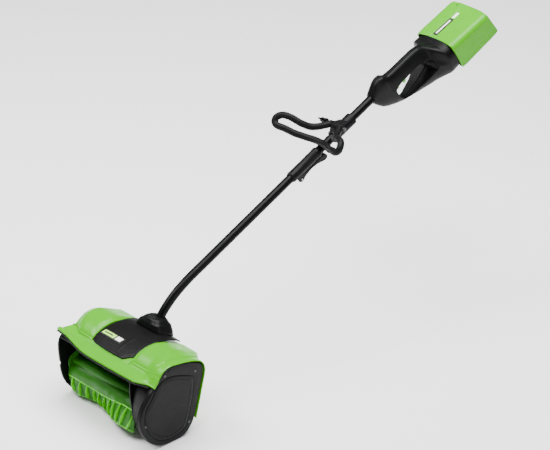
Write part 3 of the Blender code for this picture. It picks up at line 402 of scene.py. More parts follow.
GREEN = (0.058, 0.33, 0.0003)
M = {
    "shell": surface("shell_green", GREEN, 0.30, grain=(900, 0.10, 0.00025), vary=0.05, rough_vary=0.05, spec=0.22, coat=0.03, coat_rough=0.12),
    # the impeller is one green moulding: its blade green is darkened as painted shade from the hood over it, and its
    # rib green is a lighter copy of the same green, a painted highlight on the rib edges
    "impeller": surface("impeller_green_painted_shade", (0.014, 0.13, 0.001), 0.42, grain=(700, 0.15, 0.0003), vary=0.10, rough_vary=0.09, spec=0.25),
    "impeller_rib": surface("impeller_rib_green_painted_highlight", (0.10, 0.60, 0.004), 0.34, grain=(900, 0.12, 0.0002), vary=0.06, rough_vary=0.05),
    "control": surface("control_green", (0.09, 0.42, 0.001), 0.3, grain=(1600, 0.12, 0.0002), vary=0.05),
    "black": surface("moulded_black", (0.0022, 0.0022, 0.0025), 0.40, grain=(1800, 0.30, 0.00022), vary=0.16, rough_vary=0.06, spec=0.11, speck=(0.66, (0.007, 0.007, 0.0075), 0.35)),
    "cover": surface("cover_black", (0.0026, 0.0025, 0.0026), 0.46, grain=(1500, 0.38, 0.00028), vary=0.16, rough_vary=0.05, spec=0.11, speck=(0.64, (0.008, 0.008, 0.0085), 0.4)),
    "inner": surface("inner_black", (0.005, 0.005, 0.0055), 0.55, grain=(1200, 0.3, 0.0003), vary=0.2, rough_vary=0.08, spec=0.15),
    "grip": surface("grip_rubber", (0.004, 0.004, 0.004), 0.6, grain=(1100, 0.5, 0.0004), vary=0.18, rough_vary=0.06, spec=0.2),
    "foam": surface("loop_grip", (0.0025, 0.0025, 0.0026), 0.5, grain=(900, 0.45, 0.0004), vary=0.16, rough_vary=0.06, spec=0.12),
    "paint": surface("tube_paint", (0.0015, 0.0015, 0.0018), 0.30, grain=(1300, 0.14, 0.0002), vary=0.15, rough_vary=0.06, spec=0.09),
    "rubber": surface("scraper_rubber", (0.006, 0.006, 0.006), 0.65, grain=(800, 0.5, 0.0004), vary=0.2, spec=0.2),
    "steel": surface("zinc_steel", (0.55, 0.56, 0.58), 0.32, metal=1.0, grain=(600, 0.2, 0.0002), vary=0.12, rough_vary=0.10, scale=60),
    "dark_steel": surface("black_oxide", (0.06, 0.06, 0.065), 0.4, metal=0.9, grain=(900, 0.2, 0.0002), vary=0.2, rough_vary=0.1, scale=60),
    "alu": surface("machined_alu", (0.72, 0.73, 0.75), 0.28, metal=1.0, grain=(400, 0.35, 0.0002), vary=0.06, streak=((0, 0, 0), (6, 1, 1))),
    "motor": surface("motor_can", (0.42, 0.43, 0.45), 0.35, metal=0.9, grain=(700, 0.2, 0.0002), vary=0.1),
    "board": surface("circuit_board", (0.02, 0.17, 0.07), 0.5, grain=(220, 0.4, 0.0004), vary=0.25, scale=120, speck=(0.6, (0.5, 0.4, 0.15), 0.7)),
    "belt": surface("belt_rubber", (0.02, 0.02, 0.02), 0.75, grain=(500, 0.6, 0.0006), vary=0.2, streak=((0, 0, 0), (0.2, 1, 1))),
    "badge_green": surface("badge_green", (0.42, 0.86, 0.12), 0.3, grain=(1500, 0.06, 0.0001), vary=0.03),
    "badge_white": surface("badge_white", (0.85, 0.88, 0.82), 0.32, grain=(1500, 0.06, 0.0001), vary=0.03),
    "badge_black": surface("badge_black", (0.014, 0.016, 0.014), 0.28, grain=(1500, 0.06, 0.0001), vary=0.1),
}
CAD_MATS = {
    "black": ["far_side_plate", "near_side_wall", "drive_housing"],
}
for key, names in {
    "inner": ["intake_liner", "switch_module", "terminal_block", "impeller_pulley"],
    "rubber": ["scraper_bar"],
    "belt": ["drive_belt"],
    "steel": ["impeller_axle", "bearing_far", "bearing_near", "motor_shaft", "latch_pin", "trigger_pin"],
    "alu": ["motor_pulley"],
    "motor": ["motor"],
    "board": ["controller_board"],
    "dark_steel": [n for n in nodes if "screw" in n] + ["clamp_bolt"],
    "paint": ["upper_tube"],
}.items():
    for n in names:
        nodes[n].data.materials.clear()
        nodes[n].data.materials.append(M[key])
        nodes[n].data.shade_smooth()
        nodes[n].data.set_sharp_from_angle(angle=math.radians(35))


# ---------------------------------------------------------------- hood

def cover_front(x):
    """Front edge of the centre cover, rounded off towards its near corner."""
    return -36.5 + 3.5 * (abs(x) / COVER_HALF) ** 2 + 13.0 * smoothstep(42, 70, x) + 3.0 * smoothstep(54, 70, -x)


def lip_x(x, i):
    """How far a point of the hood's far lip stands out sideways."""
    return x - 10.0 * smoothstep(128, 160, -x) * (1 - smoothstep(1.5, 4.0, i))


def cover_z(y):
    line = [(-40, 181.5), (-36, 184.0), (-15, 195), (5, 201.5), (30, 205), (60, 204.5), (90, 198), (112, 189), (128, 178)]
    if y <= line[0][0]:
        return line[0][1]
    for (a, za), (b, zb) in zip(line, line[1:]):
        if y <= b:
            return za + (zb - za) * (y - a) / (b - a)
    return line[-1][1]


COVER_LINE = smooth_line([(-52, 172), (-40, 181.5), (-36, 184.0), (-15, 195), (5, 201.5), (30, 205), (60, 204.5), (90, 198), (112, 189), (128, 178), (134, 170)], 10)


def cover_zs(y):
    """The cover's top line, without corners."""
    for (a, za), (b, zb) in zip(COVER_LINE, COVER_LINE[1:]):
        if a <= y <= b:
            return za + (zb - za) * (y - a) / (b - a)
    return cover_z(y)


def hood_profile(x):
    ax = abs(x)
    mid = 1.0 - smoothstep(COVER_HALF - 0.2, COVER_HALF + 0.4, ax)
    shoulder = 1.0 - smoothstep(70, 86, ax)
    lip = -76 + 6 * (ax / 160) ** 2
    base = [(lip, 172.0), (lip + 9, 174.0), (-52, 175.4), (-38, 178.0), (-31, 182), (-23, 191), (-9, 201.5), (8, 208), (26, 210.5), (46, 209.5),
            (70, 201.5), (99, 188), (121, 177), (126, 168), (120, 150), (103, 110), (89, 72), (76, 40)]
    near = [(-56, 169.5), (-53, 174), (-46, 183), (-42, 190.5), (-37.5, 197.5), (-32, 203.5), (-25, 208.5), (-15, 212), (-3, 213), (18, 210.5),
            (52, 204.5), (81, 194.5), (97, 184), (103, 170), (103, 150), (94, 110), (85.5, 72), (77, 38)]
    k = smoothstep(124, 168, x)
    far = smoothstep(138, 161, -x)
    pts = []
    for i, ((y, z), (yn, zn)) in enumerate(zip(base, near)):
        if 3 <= i <= 12:
            z -= 4.5 * shoulder * smoothstep(-40, 0, y)
        if 3 <= i <= 9:
            y += 17 * smoothstep(112, 152, -x) * (1.0 if i < 6 else (10 - i) / 4)
        if i >= 4:
            z -= (0 if i > 12 else 9 if i > 4 else 4) * far
        sweep_up = smoothstep(40, 160, -x)                             # the far end of the lip sits higher and further back
        y += 12 * sweep_up * (1 - smoothstep(1.2, 4.6, i))
        z += 9 * sweep_up * (1 - smoothstep(0.5, 3.5, i))
        if i >= 10:
            y -= 10 * far * (1 if i < 14 else 0.6)
        y, z = y + (yn - y) * k, z + (zn - z) * k
        if mid > 0.0 and i >= 3:
            c = cover_z(y) - 5.4
            if y > cover_front(x) - 4.5 and i <= 12:
                z = z * (1 - mid) + min(z, c) * mid
        pts.append((y, z))
    return pts


def build_hood():
    xs = [-160, -159.2, -157.8]
    x = -156.0
    while x < -74.5:
        xs.append(x)
        x += 1.7
    xs += [-74, -73, -72.2, -71.5, -71.0, -70.6, -69.9]
    mids = [-66 + 6 * i for i in range(23)]
    xs += mids + [69.9, 70.6, 71.0, 71.5, 72.2, 73, 74]
    x = 75.5
    while x < 182.4:
        xs.append(x)
        x += 1.6
    xs += [182.9, 183.9, 184.6]
    per = 8
    rings = []
    for x in xs:
        line = smooth_line(hood_profile(x), per)
        n = len(line)
        fender = smoothstep(71, 78, abs(x))
        outer, inner = [], []
        for i, (y, z) in enumerate(line):
            s = i / per
            a, b = line[max(0, i - 1)], line[min(n - 1, i + 1)]
            l = max(1e-6, math.hypot(b[0] - a[0], b[1] - a[1]))
            ny, nz = -(b[1] - a[1]) / l, (b[0] - a[0]) / l
            d = 0.0
            # lip band, valley behind it and the crease at the foot of each fender
            d += 0.9 * (1 - smoothstep(0.55, 0.95, s)) * smoothstep(0.0, 0.25, s)
            if s < 4.5:
                d -= 1.7 * bump_at(s, 2.2, 0.75) * (1 - smoothstep(150, 166, x))
            d += 1.0 * bump_at(s, 4.0, 0.16) * fender * (1 - smoothstep(146, 152, x)) * (1 - smoothstep(148, 154, -x))
            # raised inner edge of the fenders
            ax = abs(x)
            if 3.0 < s < 12.6 and ax > COVER_HALF:
                d -= 1.5 * (1 - smoothstep(70.5, 73.4, ax)) ** 2
            # band round the drive cover
            t = smoothstep(2.4, 3.4, s) * (1 - smoothstep(12.2, 13.4, s))
            edge = 150.0 + 11 * smoothstep(4.0, 8.0, s) - 5 * smoothstep(9.5, 12, s)
            d -= 1.5 * smoothstep(edge, edge + 2.6, x) * t
            d += 0.5 * bump_at(x, edge - 1.2, 1.3) * t
            # the outer rims roll over
            d -= 1.6 * smoothstep(181.2, 184.6, x) ** 2
            d -= 1.6 * smoothstep(156.8, 160.0, -x) ** 2
            if s < 0.25:
                d -= 0.5 * (1 - s / 0.25)
            xx = lip_x(x, s)
            outer.append(Vector((xx, y + ny * d, z + nz * d)))
            inner.append(Vector((xx, y - ny * 3.0, z - nz * 3.0)))
        rings.append(outer + inner[::-1])
    v, f = loft(rings, cap=False)
    n, m = len(rings[0]), len(rings[0]) // 2
    for base in (0, (len(rings) - 1) * n):
        f += [(base + i, base + i + 1, base + n - 2 - i, base + n - 1 - i) for i in range(m - 1)]
    ob = add("look_hood", v, f, 30)
    place(ob, "head", M["shell"], "green_shell", "hood_shell")


def build_cover():
    nx, ny = 84, 96
    front = cover_front
    def top(x, y):
        z = cover_zs(y) - 1.6 * (abs(x) / COVER_HALF) ** 4
        w = y - front(x)
        z -= 1.7 * (1 - smoothstep(0.0, 8.5, w)) - 0.15
        z += 0.55 * bump_at(w, 9.2, 1.5) * (1 - smoothstep(54, 62, abs(x)))
        # side rolls
        z -= 1.0 * smoothstep(66.6, 69.3, abs(x)) ** 2
        # a stiffening crease that runs back from the front edge
        z += 0.6 * bump_at(x - 18 - 0.12 * w, 0, 1.6) * smoothstep(2, 10, w) * (1 - smoothstep(52, 74, w))
        z += 0.6 * bump_at(-x - 40 + 0.1 * w, 0, 1.6) * smoothstep(2, 10, w) * (1 - smoothstep(40, 62, w))
        return z
    rings = []
    for i in range(nx + 1):
        x = -69.3 + 138.6 * i / nx
        f0 = front(x)
        ys = [f0 + (126 - f0) * (j / ny) for j in range(ny + 1)]
        up = [Vector((x, y, top(x, y))) for y in ys]
        low = [Vector((x, y, top(x, y) - (2.4 if 0 < j < ny else 2.0))) for j, y in enumerate(ys)]
        rings.append(up + low[::-1])
    v, f = loft(rings)
    ob = add("look_cover", v, f, 40)
    place(ob, "head", M["cover"], "black_plastic", "centre_cover")
    # plain badge shapes that follow the cover, without lettering
    def plate(name, x0, x1, y0, y1, h0, h1, shear, mat):
        m = 14
        rings = []
        for i in range(m + 1):
            u = i / m
            row_t, row_b = [], []
            for j in range(7):
                w = j / 6
                x = x0 + (x1 - x0) * u + shear * (w - 0.5)
                y = y0 + (y1 - y0) * w
                e = 1.0 if (0 < i < m and 0 < j < 6) else 0.55
                row_t.append(Vector((x, y, top(x, y) + h0 + (h1 - h0) * e)))
                row_b.append(Vector((x, y, top(x, y) + h0)))
            rings.append(row_t + row_b[::-1])
        v, f = loft(rings)
        place(add(name, v, f, 50), "head", mat, "black_plastic")
    plate("badge_field", -64, 10, -11.5, 6.5, 0.05, 0.55, 3, M["badge_black"])
    plate("badge_bar_long", -60, -18, -8.2, 3.2, 0.56, 0.95, 3, M["badge_green"])
    plate("badge_bar_slot", -55, -26, -4.4, -0.6, 0.96, 1.15, 1, M["badge_black"])
    plate("badge_bar_short", -13, 5, -8.2, 3.2, 0.56, 0.95, 3, M["badge_white"])


def build_collar():
    def ring(cy, cz, rx, ry, tilt, e, n=72):
        out = []
        for k in range(n):
            t = 2 * math.pi * (k + 0.5) / n
            cx = math.copysign(abs(math.cos(t)) ** e, math.cos(t)) * rx
            cyy = math.copysign(abs(math.sin(t)) ** e, math.sin(t)) * ry
            out.append(Vector((cx, cy + cyy, cz + cyy * math.tan(tilt))))
        return out
    t = math.radians(-14)
    rows = [(105, 172, 47, 30.5, 0, .5), (105, 194.2, 45.6, 29.6, t, .5), (105, 196.5, 45.0, 29.2, t, .48), (106.5, 204, 40.2, 28.1, t, .46), (107.6, 209.5, 36.8, 27.2, t, .46), (108, 211.2, 35.6, 26.8, t, .48),
            (108.6, 214, 32.0, 25.4, t, .6), (109.8, 219, 27.2, 23.4, t, .7), (110.6, 221.0, 24.6, 22.0, t, .76), (111.6, 222.3, 21.0, 19.2, t, .82), (111.8, 221.4, 17.6, 16.6, t, .9)]
    v, f = loft([ring(*r) for r in rows])
    ob = add("look_collar", v, f)
    under = [(y, cover_z(y) + 0.45) for y in (40, 50, 60, 70, 80, 90, 101, 112, 120, 127.9)] + [(150, 177.5), (150, 150), (40, 150)]
    v, f = prism_x(under, -80, 80)
    cut(ob, "DIFFERENCE", add("cut_under", v, f))
    path = [Vector(p) for p in TUBE_PATH[:14]]
    v, f = loft(sweep(path, TUBE_R + 0.5, 40))
    cut(ob, "DIFFERENCE", add("cut_bore", v, f))
    moulded(ob, 0.75, 4)
    place(ob, "head", M["black"], "black_plastic", "shaft_collar")


# ---------------------------------------------------------------- drive side

OUT = [(-16, 1.0), (-36, 6), (-53, 14), (-67, 26), (-79, 41), (-89, 58), (-95, 76), (-97, 94), (-94, 111), (-86, 128), (-75, 143), (-64.5, 156.5), (-55.5, 163.8),
       (-48, 172.5), (-42, 182), (-37, 190.5), (-31, 199), (-21.5, 206), (-3, 208.7), (17, 207), (50, 200), (77, 190.5), (91, 181), (97, 169), (97, 150), (88, 110), (79.5, 72), (71, 40), (60, 20), (46, 7), (25, 1.0)]
PANEL = [(-60, 146), (-46, 166), (-34, 176), (-18, 181), (4, 180), (30, 172), (55, 162), (65, 155), (67.5, 144), (66, 118), (60, 86), (54, 58), (47, 37), (38, 25), (20, 17), (-2, 14), (-24, 17), (-44, 27), (-62, 43), (-75, 62), (-82, 82), (-83, 102), (-78, 122)]


def polar(outline, n=260, c=(-5.0, 100.0)):
    """The outline read again at even angles round the middle of the cover."""
    pts = []
    for k in range(n):
        t = 2 * math.pi * k / n
        dx, dy = math.cos(t), math.sin(t)
        best = 0.0
        for a, b in zip(outline, outline[1:] + outline[:1]):
            ay, az, by, bz = a[0] - c[0], a[1] - c[1], b[0] - c[0], b[1] - c[1]
            den = dx * (bz - az) - dy * (by - ay)
            if abs(den) < 1e-9:
                continue
            u = (dy * ay - dx * az) / den
            if -1e-6 <= u <= 1 + 1e-6:
                best = max(best, (ay + (by - ay) * u) * dx + (az + (bz - az) * u) * dy)
        pts.append((c[0] + dx * best, c[1] + dy * best))
    return pts


def build_drive_cover():
    out = smooth_line(OUT, 4, closed=True)
    panel = smooth_line(PANEL, 4, closed=True)

    def ring(line, d, x):
        return [Vector((x, y, z)) for y, z in polar(offset(line, d) if abs(d) > 1e-6 else line)]
    rows = [(out, 3.2, 179.5), (out, 2.6, 170.6), (out, 0.0, 170.6), (out, 0.0, 172.0), (out, 0.5, 172.2), (out, 0.5, 173.4), (out, 0.0, 173.6), (out, 0.0, 178.6), (out, 0.35, 180.4), (out, 1.3, 181.8),
            (out, 2.6, 182.6), (out, 4.0, 182.9), (panel, -3.0, 183.0), (panel, -1.3, 182.9), (panel, -0.8, 181.9), (panel, 0.2, 181.9), (panel, 0.7, 183.4), (panel, 1.8, 184.0),
            (panel, 8.4, 184.0), (panel, 8.9, 183.5), (panel, 9.5, 183.5), (panel, 10.0, 184.0)]
    v, f = loft([ring(*r) for r in rows])
    ob = add("look_drive_cover", v, f)
    place(ob, "head", M["cover"], "black_plastic", "drive_cover")
    # the crease across the panel
    line = [Vector((183.5, y, z)) for y, z in ((-70, 114), (-40, 107), (10, 95), (55, 84.2))]
    place(add("cover_crease", *loft(sweep(line, 0.75, 8, up=(1, 0, 0)))), "head", M["inner"], "black_plastic")
    # retaining clip near the top front corner
    v, f = loft([[Vector((x, -6 + y, 195.5 + z)) for y, z in ((-6 + c, -3.2), (6 - c, -3.2), (6, -3.2 + c), (6, 3.2 - c), (6 - c, 3.2), (-6 + c, 3.2), (-6, 3.2 - c), (-6, -3.2 + c))] for x, c in ((182.0, 1.4), (183.4, 1.4), (184.0, 2.0))])
    place(add("cover_clip", v, f, 25), "head", M["black"], "black_plastic")


def build_side_parts():
    for n in ("far_side_plate", "near_side_wall", "drive_housing"):
        place(bevelled(n, 0.9, 3), "head", M["black"], "black_plastic", n)
    place(bevelled("front_edge_strip", 0.5, 3), "head", M["rubber"], "black_rubber", "front_edge_strip")
    # an outline along the rim of the far plate, handed back to the caller; no ribs are built from it
    far = [(-12, 1), (-28, 9), (-42, 26), (-53, 46), (-60, 70), (-62, 84), (-59, 90), (-63, 98), (-66, 130), (-69, 155), (-66, 164.5),
           (-50, 168.5), (-26, 167.5), (-8, 168.5), (3, 174), (20, 186), (50, 190), (84, 178), (100, 168), (104, 156), (98, 130), (84, 96), (72, 60), (60, 34), (50, 14), (42, 5), (22, 1)]
    return far


# ---------------------------------------------------------------- impeller

TIP = [(-150, -98), (-120, -106), (-95, -100), (-60, -94), (-20, -102), (10, -112), (40, -124), (75, -134), (100, -133), (111, -122)]


def tip_angle(x):
    if x <= TIP[0][0]:
        return TIP[0][1]
    for (a, ta), (b, tb) in zip(TIP, TIP[1:]):
        if x <= b:
            s = (x - a) / (b - a)
            s = s * s * (3 - 2 * s)
            return ta + (tb - ta) * s
    return TIP[-1][1]


def blade_point(x, s, turn):
    hub = 13.0
    r = hub + (IMPELLER_R - hub) * s
    a = math.radians(tip_angle(x) + turn - 78 * (1 - s) ** 1.7)
    return Vector((r * math.cos(a), r * math.sin(a)))


def blade_normal(x, s, turn):
    d = (blade_point(x, min(1.0, s + 0.03), turn) - blade_point(x, max(0.0, s - 0.03), turn)).normalized()
    return Vector((-d.y, d.x))


def build_impeller():
    hub = 13.0
    xs = [-149 + 2.6 * i for i in range(101)]
    rings = []
    for x in xs:
        ring = []
        for turn in (0, 180):
            line = [blade_point(x, i / 24, turn) for i in range(25)]
            back = []
            for i in range(1, 25):
                d = (line[min(24, i + 1)] - line[i - 1]).normalized()
                back.append(line[i] + Vector((-d.y, d.x)) * 2.4)
            root = math.radians(tip_angle(x) + turn - 78)
            arc = [Vector((hub * math.cos(root + math.radians(t)), hub * math.sin(root + math.radians(t)))) for t in (16, 33, 50, 67, 85, 102, 120, 136, 152)]
            ring += line + back[::-1] + arc
        rings.append([Vector((x, AXLE_Y + p.x, AXLE_Z + p.y)) for p in ring])
    core = [add("imp_core", *loft(rings))]
    for x0 in (-149.6, 107.3):
        core.append(add("disc", *solid_round((x0, AXLE_Y, AXLE_Z), (1, 0, 0), [(25.2, 0), (26, 0.8), (26, 2.2), (25.2, 3)], 64)))
    parts = []
    for turn in (0, 180):
        # thin ribs stand on both faces of the blade
        for side in (-1, 1):
            for i in range(11):
                xr = -136 + 23.6 * i
                rr = []
                for w, trim in ((-0.8, 0.5), (-0.5, 0.0), (0.5, 0.0), (0.8, 0.5)):
                    low, high = [], []
                    for j in range(21):
                        s = 0.41 + 0.57 * j / 20
                        lean = xr + w + (1 - s) * 20 * (1 if side < 0 else -1)
                        lean = max(-147, min(108, lean))
                        p = blade_point(lean, s, turn)
                        nn = blade_normal(lean, s, turn)
                        h = 8.6 * math.sin(math.pi * min(1.0, (j + 0.4) / 20.8)) ** 0.5 - trim
                        base = p + nn * 1.2
                        top = p + (nn * (2.4 + h) if side > 0 else -nn * h)
                        low.append(Vector((lean, AXLE_Y + base.x, AXLE_Z + base.y)))
                        high.append(Vector((lean, AXLE_Y + top.x, AXLE_Z + top.y)))
                    rr.append(low + high[::-1])
                parts.append(add("rib", *loft(rr)))
        # beads along the tip and across the foot of the ribs
        for s, r in ((0.99, 1.5), (0.41, 1.9)):
            path = []
            for x in xs:
                p = blade_point(x, s, turn) + blade_normal(x, s, turn) * 1.2
                path.append(Vector((x, AXLE_Y + p.x, AXLE_Z + p.y)))
            parts.append(add("bead", *loft(sweep(path, r, 12, up=(0, 0.3, 1)))))
    # blade in the darkened green (painted shade), ribs and beads in the lighter green (painted highlight)
    place(join("look_impeller", *core), "impeller_shaft", M["impeller"], "green_impeller", "impeller")
    place(join("look_impeller_ribs", *parts), "impeller_shaft", M["impeller_rib"], "green_impeller")


# ---------------------------------------------------------------- shaft

def lower_path(step):
    pts = [(0, 103, 192.5), (0, 113, 203.5), (0, 124, 217), (0, 134.5, 230), (0, 147, 242.6), (0, 160, 254.2), (0, 174.5, 265.3), (0, 191, 275.8), (0, 208.5, 286.2), (0, 228, 296.2), (0, 248, 305.8), (0, 274, 318.2), (0, 300, SHAFT_Z0 + 300 * SHAFT_SLOPE)]
    return [Vector(p) for p in smooth_line(pts, step)]


TUBE_PATH = lower_path(4)


def build_tubes():
    path = TUBE_PATH + [L(0, SPLIT_A, 0)]
    v, f = hollow(sweep(path, TUBE_R, 40), sweep(path, TUBE_R - TUBE_WALL, 40))
    place(add("look_lower_tube", v, f), "head", M["paint"], "black_paint", "lower_tube")
    path = [L(0, SPLIT_A + 1.0, 0), L(0, 12, 0)]
    v, f = hollow(sweep(path, TUBE_R, 40), sweep(path, TUBE_R - TUBE_WALL, 40))
    place(add("look_upper_tube", v, f), "upper_shaft", M["paint"], "black_paint", "upper_tube")


def build_coupling():
    # sleeve with a rolled rim at each end and ears for the lever's pin
    rows = [(SLEEVE_A0, 12.2), (SLEEVE_A0 + 0.8, 13.2), (SLEEVE_A0 + 3, 14.2), (SLEEVE_A0 + 8, 14.2), (SLEEVE_A0 + 9, 13.7), (SLEEVE_A0 + 24, 13.7), (SLEEVE_A1 - 12, 13.7), (SLEEVE_A1 - 11, 14.2), (SLEEVE_A1 - 3, 14.2), (SLEEVE_A1 - 0.8, 13.4), (SLEEVE_A1, 12.6)]
    n = 48
    def ring(a, r):
        return [L(r * math.cos(2 * math.pi * k / n), a, r * math.sin(2 * math.pi * k / n)) for k in range(n)]
    v, f = hollow([ring(a, r) for a, r in rows], [ring(a, 11.4) for a, r in rows])
    ob = add("look_sleeve", v, f)
    for side in (-1, 1):
        ear = [(SLEEVE_A0 + 12, -9.6), (SLEEVE_A0 + 14, -22), (SLEEVE_A0 + 19, -26.6), (SLEEVE_A0 + 28, -27), (SLEEVE_A0 + 34, -23), (SLEEVE_A0 + 38, -9.6)]
        v, f = loft([[L(x, a, b) for a, b in ear] for x in sorted((side * 7, side * 10.5))])
        cut(ob, "UNION", add("ear", v, f))
    v, f = solid_round(L(-14, -284, -22), (1, 0, 0), [(2.35, 0), (2.35, 28)], 20)
    cut(ob, "DIFFERENCE", add("ear_hole", v, f))
    v, f = loft([ring(a, 11.4) for a in (SLEEVE_A0 - 5, SLEEVE_A1 + 5)])
    cut(ob, "DIFFERENCE", add("sleeve_bore", v, f))
    place(ob, "head", M["black"], "black_plastic", "coupling_sleeve")
    lever = copy_of("latch_lever", "look_lever")
    moulded(lever, 0.45, 5)
    place(lever, "latch", M["black"], "black_plastic", "latch_lever")


# ---------------------------------------------------------------- loop handle

def build_loop():
    pivot = L(0, CLAMP_A - 26, CLAMP_B)
    pts = [(16, -130, 21.5), (24, -144, 24.5), (34, -159, 29), (46, -173, 37), (62, -184, 53), (84, -190, 68), (102, -198, 75), (112, -210, 74), (112, -220, 68),
           (102, -224, 62), (84, -218, 54), (62, -211, 41), (42, -201, 29), (20, -194, 23), (0, -192, 21.8)]
    line = pts + [(-x, a, b) for x, a, b in pts[-2::-1]]
    fine = smooth_line(line, 6)
    ob = add("loop_bar", *loft(sweep([L(*p) for p in fine], LOOP_R - 0.1, 32)))
    parts = [ob]
    for s in (-1, 1):
        parts.append(add("hub", *solid_round(pivot + XA * (10.0 * s if s > 0 else -19.5), (1, 0, 0), [(8.3, 0), (9.0, 0.7), (9.0, 8.8), (8.3, 9.5)], 40)))
    ob = join("look_loop", *parts)
    moulded(ob, 0.8, 3)
    cut(ob, "DIFFERENCE", add("slot", *solid_round(pivot - XA * 9.9, (1, 0, 0), [(14, 0), (14, 19.8)], 40)), sharp=40)
    cut(ob, "DIFFERENCE", add("hole", *solid_round(pivot - XA * 30, (1, 0, 0), [(3.3, 0), (3.3, 60)], 24)), sharp=40)
    place(ob, "loop", M["foam"], "black_rubber", "loop_handle")
    for n, body in (("clamp_upper", "loop_clamp"), ("clamp_lower", "loop_clamp")):
        o = copy_of(n)
        moulded(o, 0.5, 5)
        place(o, body, M["black"], "black_plastic", n)
    knob = copy_of("wing_knob", "look_knob")
    moulded(knob, 0.4, 5)
    place(knob, "knob", M["black"], "black_plastic", "wing_knob")


# ---------------------------------------------------------------- rear handle

def width_at(a):
    line = [(-4, 13.5), (8, 15), (30, 18), (60, 20), (100, 22), (140, 27), (180, 39), (203, 54), (216, HOUSING_W), (232, HOUSING_W), (HOUSING_A1, HOUSING_W)]
    for (p, w), (q, u) in zip(line, line[1:]):
        if a <= q:
            s = (a - p) / (q - p)
            return w + (u - w) * s
    return line[-1][1]


def build_handle():
    bottom = [(-4, -15), (6, -30), (18, -45), (34, -56), (54, -66), (80, -77), (110, -86), (140, -92.5), (175, -97), (210, -97), (HOUSING_A1, -92)]
    top = [(-4, 13.5), (6, 22), (20, 34), (34, 38.5), (46, 37), (60, 25.5), (80, 23.5), (110, 23), (140, 23), (160, 22.5), (178, 20), (196, 12), (212, 1), (222, -3.5), (HOUSING_A1, -6)]

    def val(line, a):
        for (p, w), (q, u) in zip(line, line[1:]):
            if a <= q:
                return w + (u - w) * (a - p) / (q - p)
        return line[-1][1]

    def rings_of(stations, n, shrink, outside):
        rings = []
        for a in stations:
            w, zt, zb = width_at(a) - shrink, val(top, a) - shrink, val(bottom, a) + shrink
            g = 17.0 - shrink if a > 50 else w
            wt = w if a < 50 else g + (w - g) * smoothstep(186, 222, a)
            cz, hz = (zt + zb) / 2, (zt - zb) / 2
            ring = []
            for k in range(n):
                t = 2 * math.pi * k / n
                e = 0.62
                cx = math.copysign(abs(math.cos(t)) ** e, math.cos(t))
                sz = math.copysign(abs(math.sin(t)) ** e, math.sin(t))
                ww = w + (wt - w) * max(0.0, sz) ** 0.7
                bb = cz + hz * sz
                lean = SLANT * max(0.0, -6 - bb) * smoothstep(150, HOUSING_A1, a)
                bow = BOW * (ww * cx / HOUSING_W) ** 2 * smoothstep(190, HOUSING_A1, a) if outside else 0.0
                ring.append(L(ww * cx, a + lean - bow, bb))
            rings.append(ring)
        if outside:
            ring = []
            for k in range(n):
                t = 2 * math.pi * k / n
                cx = math.copysign(abs(math.cos(t)) ** 0.62, math.cos(t)) * (HOUSING_W - 6)
                bb = cz + (hz - 6) * math.copysign(abs(math.sin(t)) ** 0.62, math.sin(t))
                ring.append(L(cx, HOUSING_A1 + SLANT * max(0.0, -6 - bb) - BOW * (cx / HOUSING_W) ** 2, bb))
            rings.append(ring)
        return rings
    def fine_stations(st, m):
        out = []
        for p, q in zip(st, st[1:]):
            out += [p + (q - p) * i / m for i in range(m)]
        return out + [st[-1]]
    st = fine_stations([-4, 6, 18, 34, 46, 60, 80, 100, 120, 140, 160, 175, 190, 205, 218, 230, 238, HOUSING_A1], 3)
    body = add("handle_body", *loft(rings_of(st, 64, 0.0, True)))
    hole = smooth_line([(66, -24), (80, -17.5), (110, -15), (150, -12.5), (176, -14), (190, -22), (194, -38), (187, -53), (150, -67), (118, -73.5), (94, -75.5), (79, -65), (68, -43)], 6, closed=True)
    cut(body, "DIFFERENCE", add("cut_hole", *loft([[L(x, a, b) for a, b in hole] for x in (-80, 80)])))
    core = add("core", *loft(rings_of([8, 18, 34, 46, 60, 80, 100, 120, 140, 160, 175, 190, 205, 218, 230, HOUSING_A1 + 24], 24, 3.0, False)))
    fat = smooth_line([(62, -21), (77, -13.5), (110, -11.2), (151, -8.8), (179, -10.2), (194.6, -19.4), (199.1, -38.3), (191.9, -58.1), (152.1, -71.9), (117.3, -78.3), (91.9, -80.3), (74.6, -68.7), (63.2, -44.7)], 3, closed=True)
    cut(core, "DIFFERENCE", add("cut_core", *loft([[L(x, a, b) for a, b in fat] for x in (-80, 80)])))
    cut(body, "DIFFERENCE", core)
    cut(body, "DIFFERENCE", add("seat", *loft(sweep([L(0, -12, 0), L(0, 20, 0)], TUBE_R + 0.4, 32))))
    cut(body, "DIFFERENCE", add("slot_t", *box_l(-7.4, 7.4, 76, 118, -22, 3)))
    cut(body, "DIFFERENCE", add("slot_l", *box_l(-7.43, 7.43, 50.3, 73.1, -37.3, -20.7)))
    left = bpy.data.objects.new("look_handle_left", body.data.copy())
    bpy.context.scene.collection.objects.link(left)
    cut(left, "DIFFERENCE", add("half_a", *box_l(-0.15, 120, -40, 300, -150, 90)), solver="MANIFOLD")
    body.name = "look_handle_right"
    cut(body, "DIFFERENCE", add("half_b", *box_l(-120, 0.15, -40, 300, -150, 90)), solver="MANIFOLD")
    for o, n in ((left, "handle_left"), (body, "handle_right")):
        moulded(o, 0.95, 5)
        place(o, "upper_shaft", M["black"], "black_plastic", n)
    for n, b, voxel in (("trigger", "trigger", 0.5), ("lockout_button", "lockout", 0.45)):
        o = copy_of(n)
        moulded(o, voxel, 4)
        place(o, b, M["control"], "green_controls", n)


